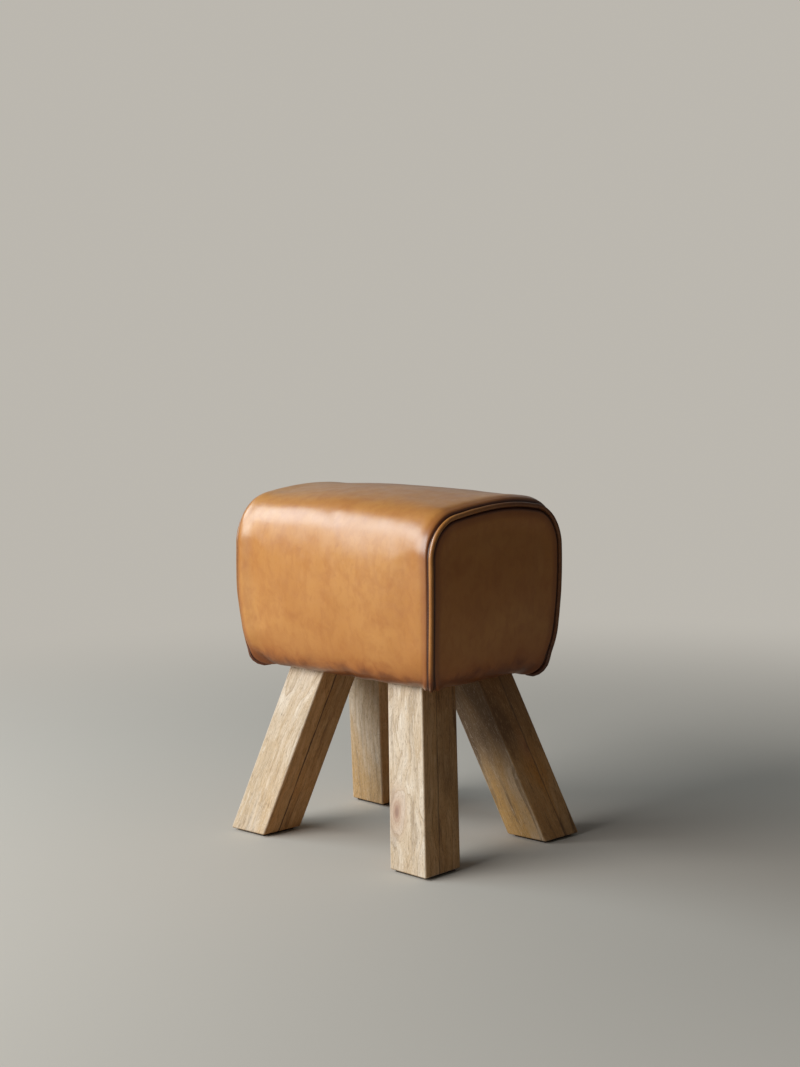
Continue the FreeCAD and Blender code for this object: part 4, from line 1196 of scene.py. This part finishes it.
class StoolCarcass(bpy.types.Operator):
    """Finishes the hidden carcass and its fixings"""

    bl_idname = "stool.carcass"
    bl_label = "Carcass and fixings"

    def execute(self, context):
        steel = steel_material("plated_steel")
        boards = [n for n in NODES if n.endswith("_board") and not n.startswith("leg_")]
        boards += [n for n in NODES if n.startswith("corner_block")] + ["leg_tenons"]
        for count, name in enumerate(sorted(boards)):
            refinish(name, plywood_material(f"birch_{name}", 0.7 * count))
        for name in ("hanger_bolts", "tee_nuts"):
            refinish(name, steel)
        foam = foam_material("cream_foam")
        for name in [n for n in NODES if n.endswith("_foam")]:
            refinish(name, foam)
        return {"FINISHED"}


class StoolUnderside(bpy.types.Operator):
    """Stretches the lining cloth under the base and staples it"""

    bl_idname = "stool.underside"
    bl_label = "Underside"

    def execute(self, context):
        form = context.scene.stool_form
        (half_x, half_y), level = LINING_HALF, form.underside - LINING_DROP
        bm = bmesh.new()
        bmesh.ops.create_grid(bm, x_segments=72, y_segments=40, size=1)
        for vertex in bm.verts:
            x, y = vertex.co.x, vertex.co.y
            sag = LINING_SAG * (1 - x**4) * (1 - y**4) * (0.7 + 0.3 * noise.noise(Vector((x * 5, y * 3, 1))))
            tight = LINING_GATHER * abs(math.sin(x * 5 * math.pi)) * abs(y) ** 8
            tight += LINING_GATHER * abs(math.sin(y * 3 * math.pi)) * abs(x) ** 8
            vertex.co = Vector((x * half_x, y * half_y, level - sag - tight))
        outward(bm, Vector((0, 0, level)), Vector((0, 0, -1)))
        cloth = cloth_material("lining_cloth", (0.012, 0.012, 0.013), (0.045, 0.044, 0.043))
        piece = new_piece("lining_cloth", to_mesh(bm, "lining_cloth"), cloth)
        thick = piece.modifiers.new("cloth", "SOLIDIFY")
        thick.thickness, thick.offset = 0.0006, 0
        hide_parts("dust_cover")
        self.staple(half_x, half_y, level)
        return {"FINISHED"}

    def staple(self, half_x, half_y, level):
        """Staples along the cloth's rim."""
        spots = []
        from_x, from_y = STAPLE_CORNER
        for count in range(11):
            x = -half_x + from_x + count * (2 * half_x - 2 * from_x) / 10
            spots += [(x, -half_y + STAPLE_EDGE, 0.0), (x, half_y - STAPLE_EDGE, 0.0)]
        for count in range(6):
            y = -half_y + from_y + count * (2 * half_y - 2 * from_y) / 5
            spots += [(-half_x + STAPLE_EDGE, y, 90.0), (half_x - STAPLE_EDGE, y, 90.0)]
        bm = bmesh.new()
        for count, (x, y, turn) in enumerate(spots):
            angle = math.radians(turn + 9 * math.sin(7.3 * count))
            stand = Matrix.Translation((x, y, level - 0.0014)) @ Matrix.Rotation(angle, 4, "Z")
            made = bmesh.ops.create_cube(bm, size=1, matrix=stand @ Matrix.Diagonal((*STAPLE_SIZE, 1)))
            edges = list({edge for vertex in made["verts"] for edge in vertex.link_edges})
            bmesh.ops.bevel(bm, geom=edges, offset=STAPLE_BEVEL, affect="EDGES", segments=2, profile=0.5, material=-1)
        new_piece("lining_staples", to_mesh(bm, "lining_staples"), steel_material("staple_wire"))


class StoolStage(bpy.types.Operator):
    """Sets the plain floor, the air, the lamps and the camera"""

    bl_idname = "stool.stage"
    bl_label = "Studio"

    def execute(self, context):
        studio = context.scene.stool_studio
        bm = bmesh.new()
        bmesh.ops.create_grid(bm, x_segments=1, y_segments=1, size=14)
        floor = bpy.data.objects.new("floor", to_mesh(bm, "floor", False))
        context.scene.collection.objects.link(floor)
        floor.data.materials.append(self.floor_material(studio))
        for lamp, power in zip(LAMPS, (studio.window, studio.side, studio.back)):
            self.lamp(*lamp, power)
        world = bpy.data.worlds.new("studio_air")
        context.scene.world = world
        world.use_nodes = True
        nodes, links = world.node_tree.nodes, world.node_tree.links
        air = nodes["Background"]
        air.inputs["Color"].default_value = AIR_TONE
        air.inputs["Strength"].default_value = studio.sky
        seen = nodes.new("ShaderNodeBackground")
        seen.inputs["Color"].default_value = (*studio.distance, 1)
        seen.inputs["Strength"].default_value = 1.0
        path, mix = nodes.new("ShaderNodeLightPath"), nodes.new("ShaderNodeMixShader")
        links.new(path.outputs["Is Camera Ray"], mix.inputs[0])
        links.new(air.outputs[0], mix.inputs[1])
        links.new(seen.outputs[0], mix.inputs[2])
        links.new(mix.outputs[0], nodes["World Output"].inputs["Surface"])
        self.camera(context)
        context.scene.view_settings.view_transform = "Standard"
        return {"FINISHED"}

    def floor_material(self, studio):
        """Plain pale floor that fades into the air behind, and can be seen through from below."""
        r = Recipe("studio_floor")
        path = r.nodes.new("ShaderNodeLightPath")
        colour = r.blend(path.outputs["Is Camera Ray"], studio.bounce, studio.floor)
        tone = r.cloud(r.place, 1.6, 3, 0.5)
        r.finish(colour, r.span(tone, 0.3, 0.7, 0.80, 0.88), None, Specular_IOR_Level=0.2)
        x, y, _ = r.parts(r.place)
        away = r.sum("SQRT", r.sum("ADD", r.sum("MULTIPLY", x, x), r.sum("MULTIPLY", y, y)))
        fade = r.sum("MULTIPLY", r.span(away, 0.55, 2.0), path.outputs["Is Camera Ray"])
        glow = r.nodes.new("ShaderNodeEmission")
        glow.inputs["Color"].default_value = (*studio.distance, 1)
        clear = r.nodes.new("ShaderNodeBsdfTransparent")
        side = r.nodes.new("ShaderNodeNewGeometry")
        top, whole = r.nodes.new("ShaderNodeMixShader"), r.nodes.new("ShaderNodeMixShader")
        for node, (share, first, second) in (
            (top, (fade, r.shader.outputs[0], glow.outputs[0])),
            (whole, (side.outputs["Backfacing"], top.outputs[0], clear.outputs[0])),
        ):
            for socket, feed in zip(node.inputs, (share, first, second)):
                r.links.new(feed, socket)
        r.links.new(whole.outputs[0], r.nodes["Material Output"].inputs["Surface"])
        return r.material

    def lamp(self, name, place, target, size, colour, power):
        """A large soft lamp that faces its target."""
        light = bpy.data.lights.new(name, "AREA")
        light.shape, light.size, light.size_y = "RECTANGLE", *size
        light.energy = power
        light.color = colour
        lamp = bpy.data.objects.new(name, light)
        bpy.context.scene.collection.objects.link(lamp)
        lamp.location = place
        lamp.rotation_mode = "QUATERNION"
        lamp.rotation_quaternion = (Vector(target) - Vector(place)).to_track_quat("-Z", "Y")

    def camera(self, context):
        """The camera at the photograph's place."""
        lens = bpy.data.cameras.new("camera")
        lens.sensor_width, lens.lens = SENSOR_WIDTH, FOCAL_LENGTH
        lens.clip_start, lens.clip_end = 0.05, 60
        camera = bpy.data.objects.new("camera", lens)
        context.scene.collection.objects.link(camera)
        turn = Matrix((CAMERA_RIGHT, CAMERA_UP, CAMERA_RIGHT.cross(CAMERA_UP))).transposed()
        camera.location = CAMERA_PLACE
        camera.rotation_mode = "QUATERNION"
        camera.rotation_quaternion = turn.to_quaternion()
        context.scene.camera = camera


class StoolPanel(bpy.types.Panel):
    """Steps that make the stool"""

    bl_idname = "VIEW3D_PT_stool"
    bl_label = "Leather Block Stool"
    bl_space_type = "VIEW_3D"
    bl_region_type = "UI"
    bl_category = "Stool"

    def draw(self, context):
        for operator in OPERATORS:
            self.layout.operator(operator.bl_idname)
        for group in ("stool_form", "stool_leather", "stool_timber", "stool_studio"):
            settings = getattr(context.scene, group)
            box = self.layout.box()
            for name in settings.__annotations__:
                box.prop(settings, name)


OPERATORS = (StoolCovers, StoolLegs, StoolCarcass, StoolUnderside, StoolStage)
GROUPS = (
    ("stool_form", StoolSeatForm),
    ("stool_leather", StoolLeather),
    ("stool_timber", StoolTimber),
    ("stool_studio", StoolStudio),
)


def register():
    """Registers the settings, steps and panel."""
    for name, group in GROUPS:
        bpy.utils.register_class(group)
        setattr(bpy.types.Scene, name, PointerProperty(type=group))
    for item in (*OPERATORS, StoolPanel):
        bpy.utils.register_class(item)


def unregister():
    """Removes the settings, steps and panel."""
    for item in (StoolPanel, *reversed(OPERATORS)):
        bpy.utils.unregister_class(item)
    for name, group in reversed(GROUPS):
        delattr(bpy.types.Scene, name)
        bpy.utils.unregister_class(group)


def main():
    """Makes the stool and its studio."""
    register()
    bpy.ops.stool.covers()
    bpy.ops.stool.legs()
    bpy.ops.stool.carcass()
    bpy.ops.stool.underside()
    bpy.ops.stool.stage()


if __name__ == "__main__":
    main()
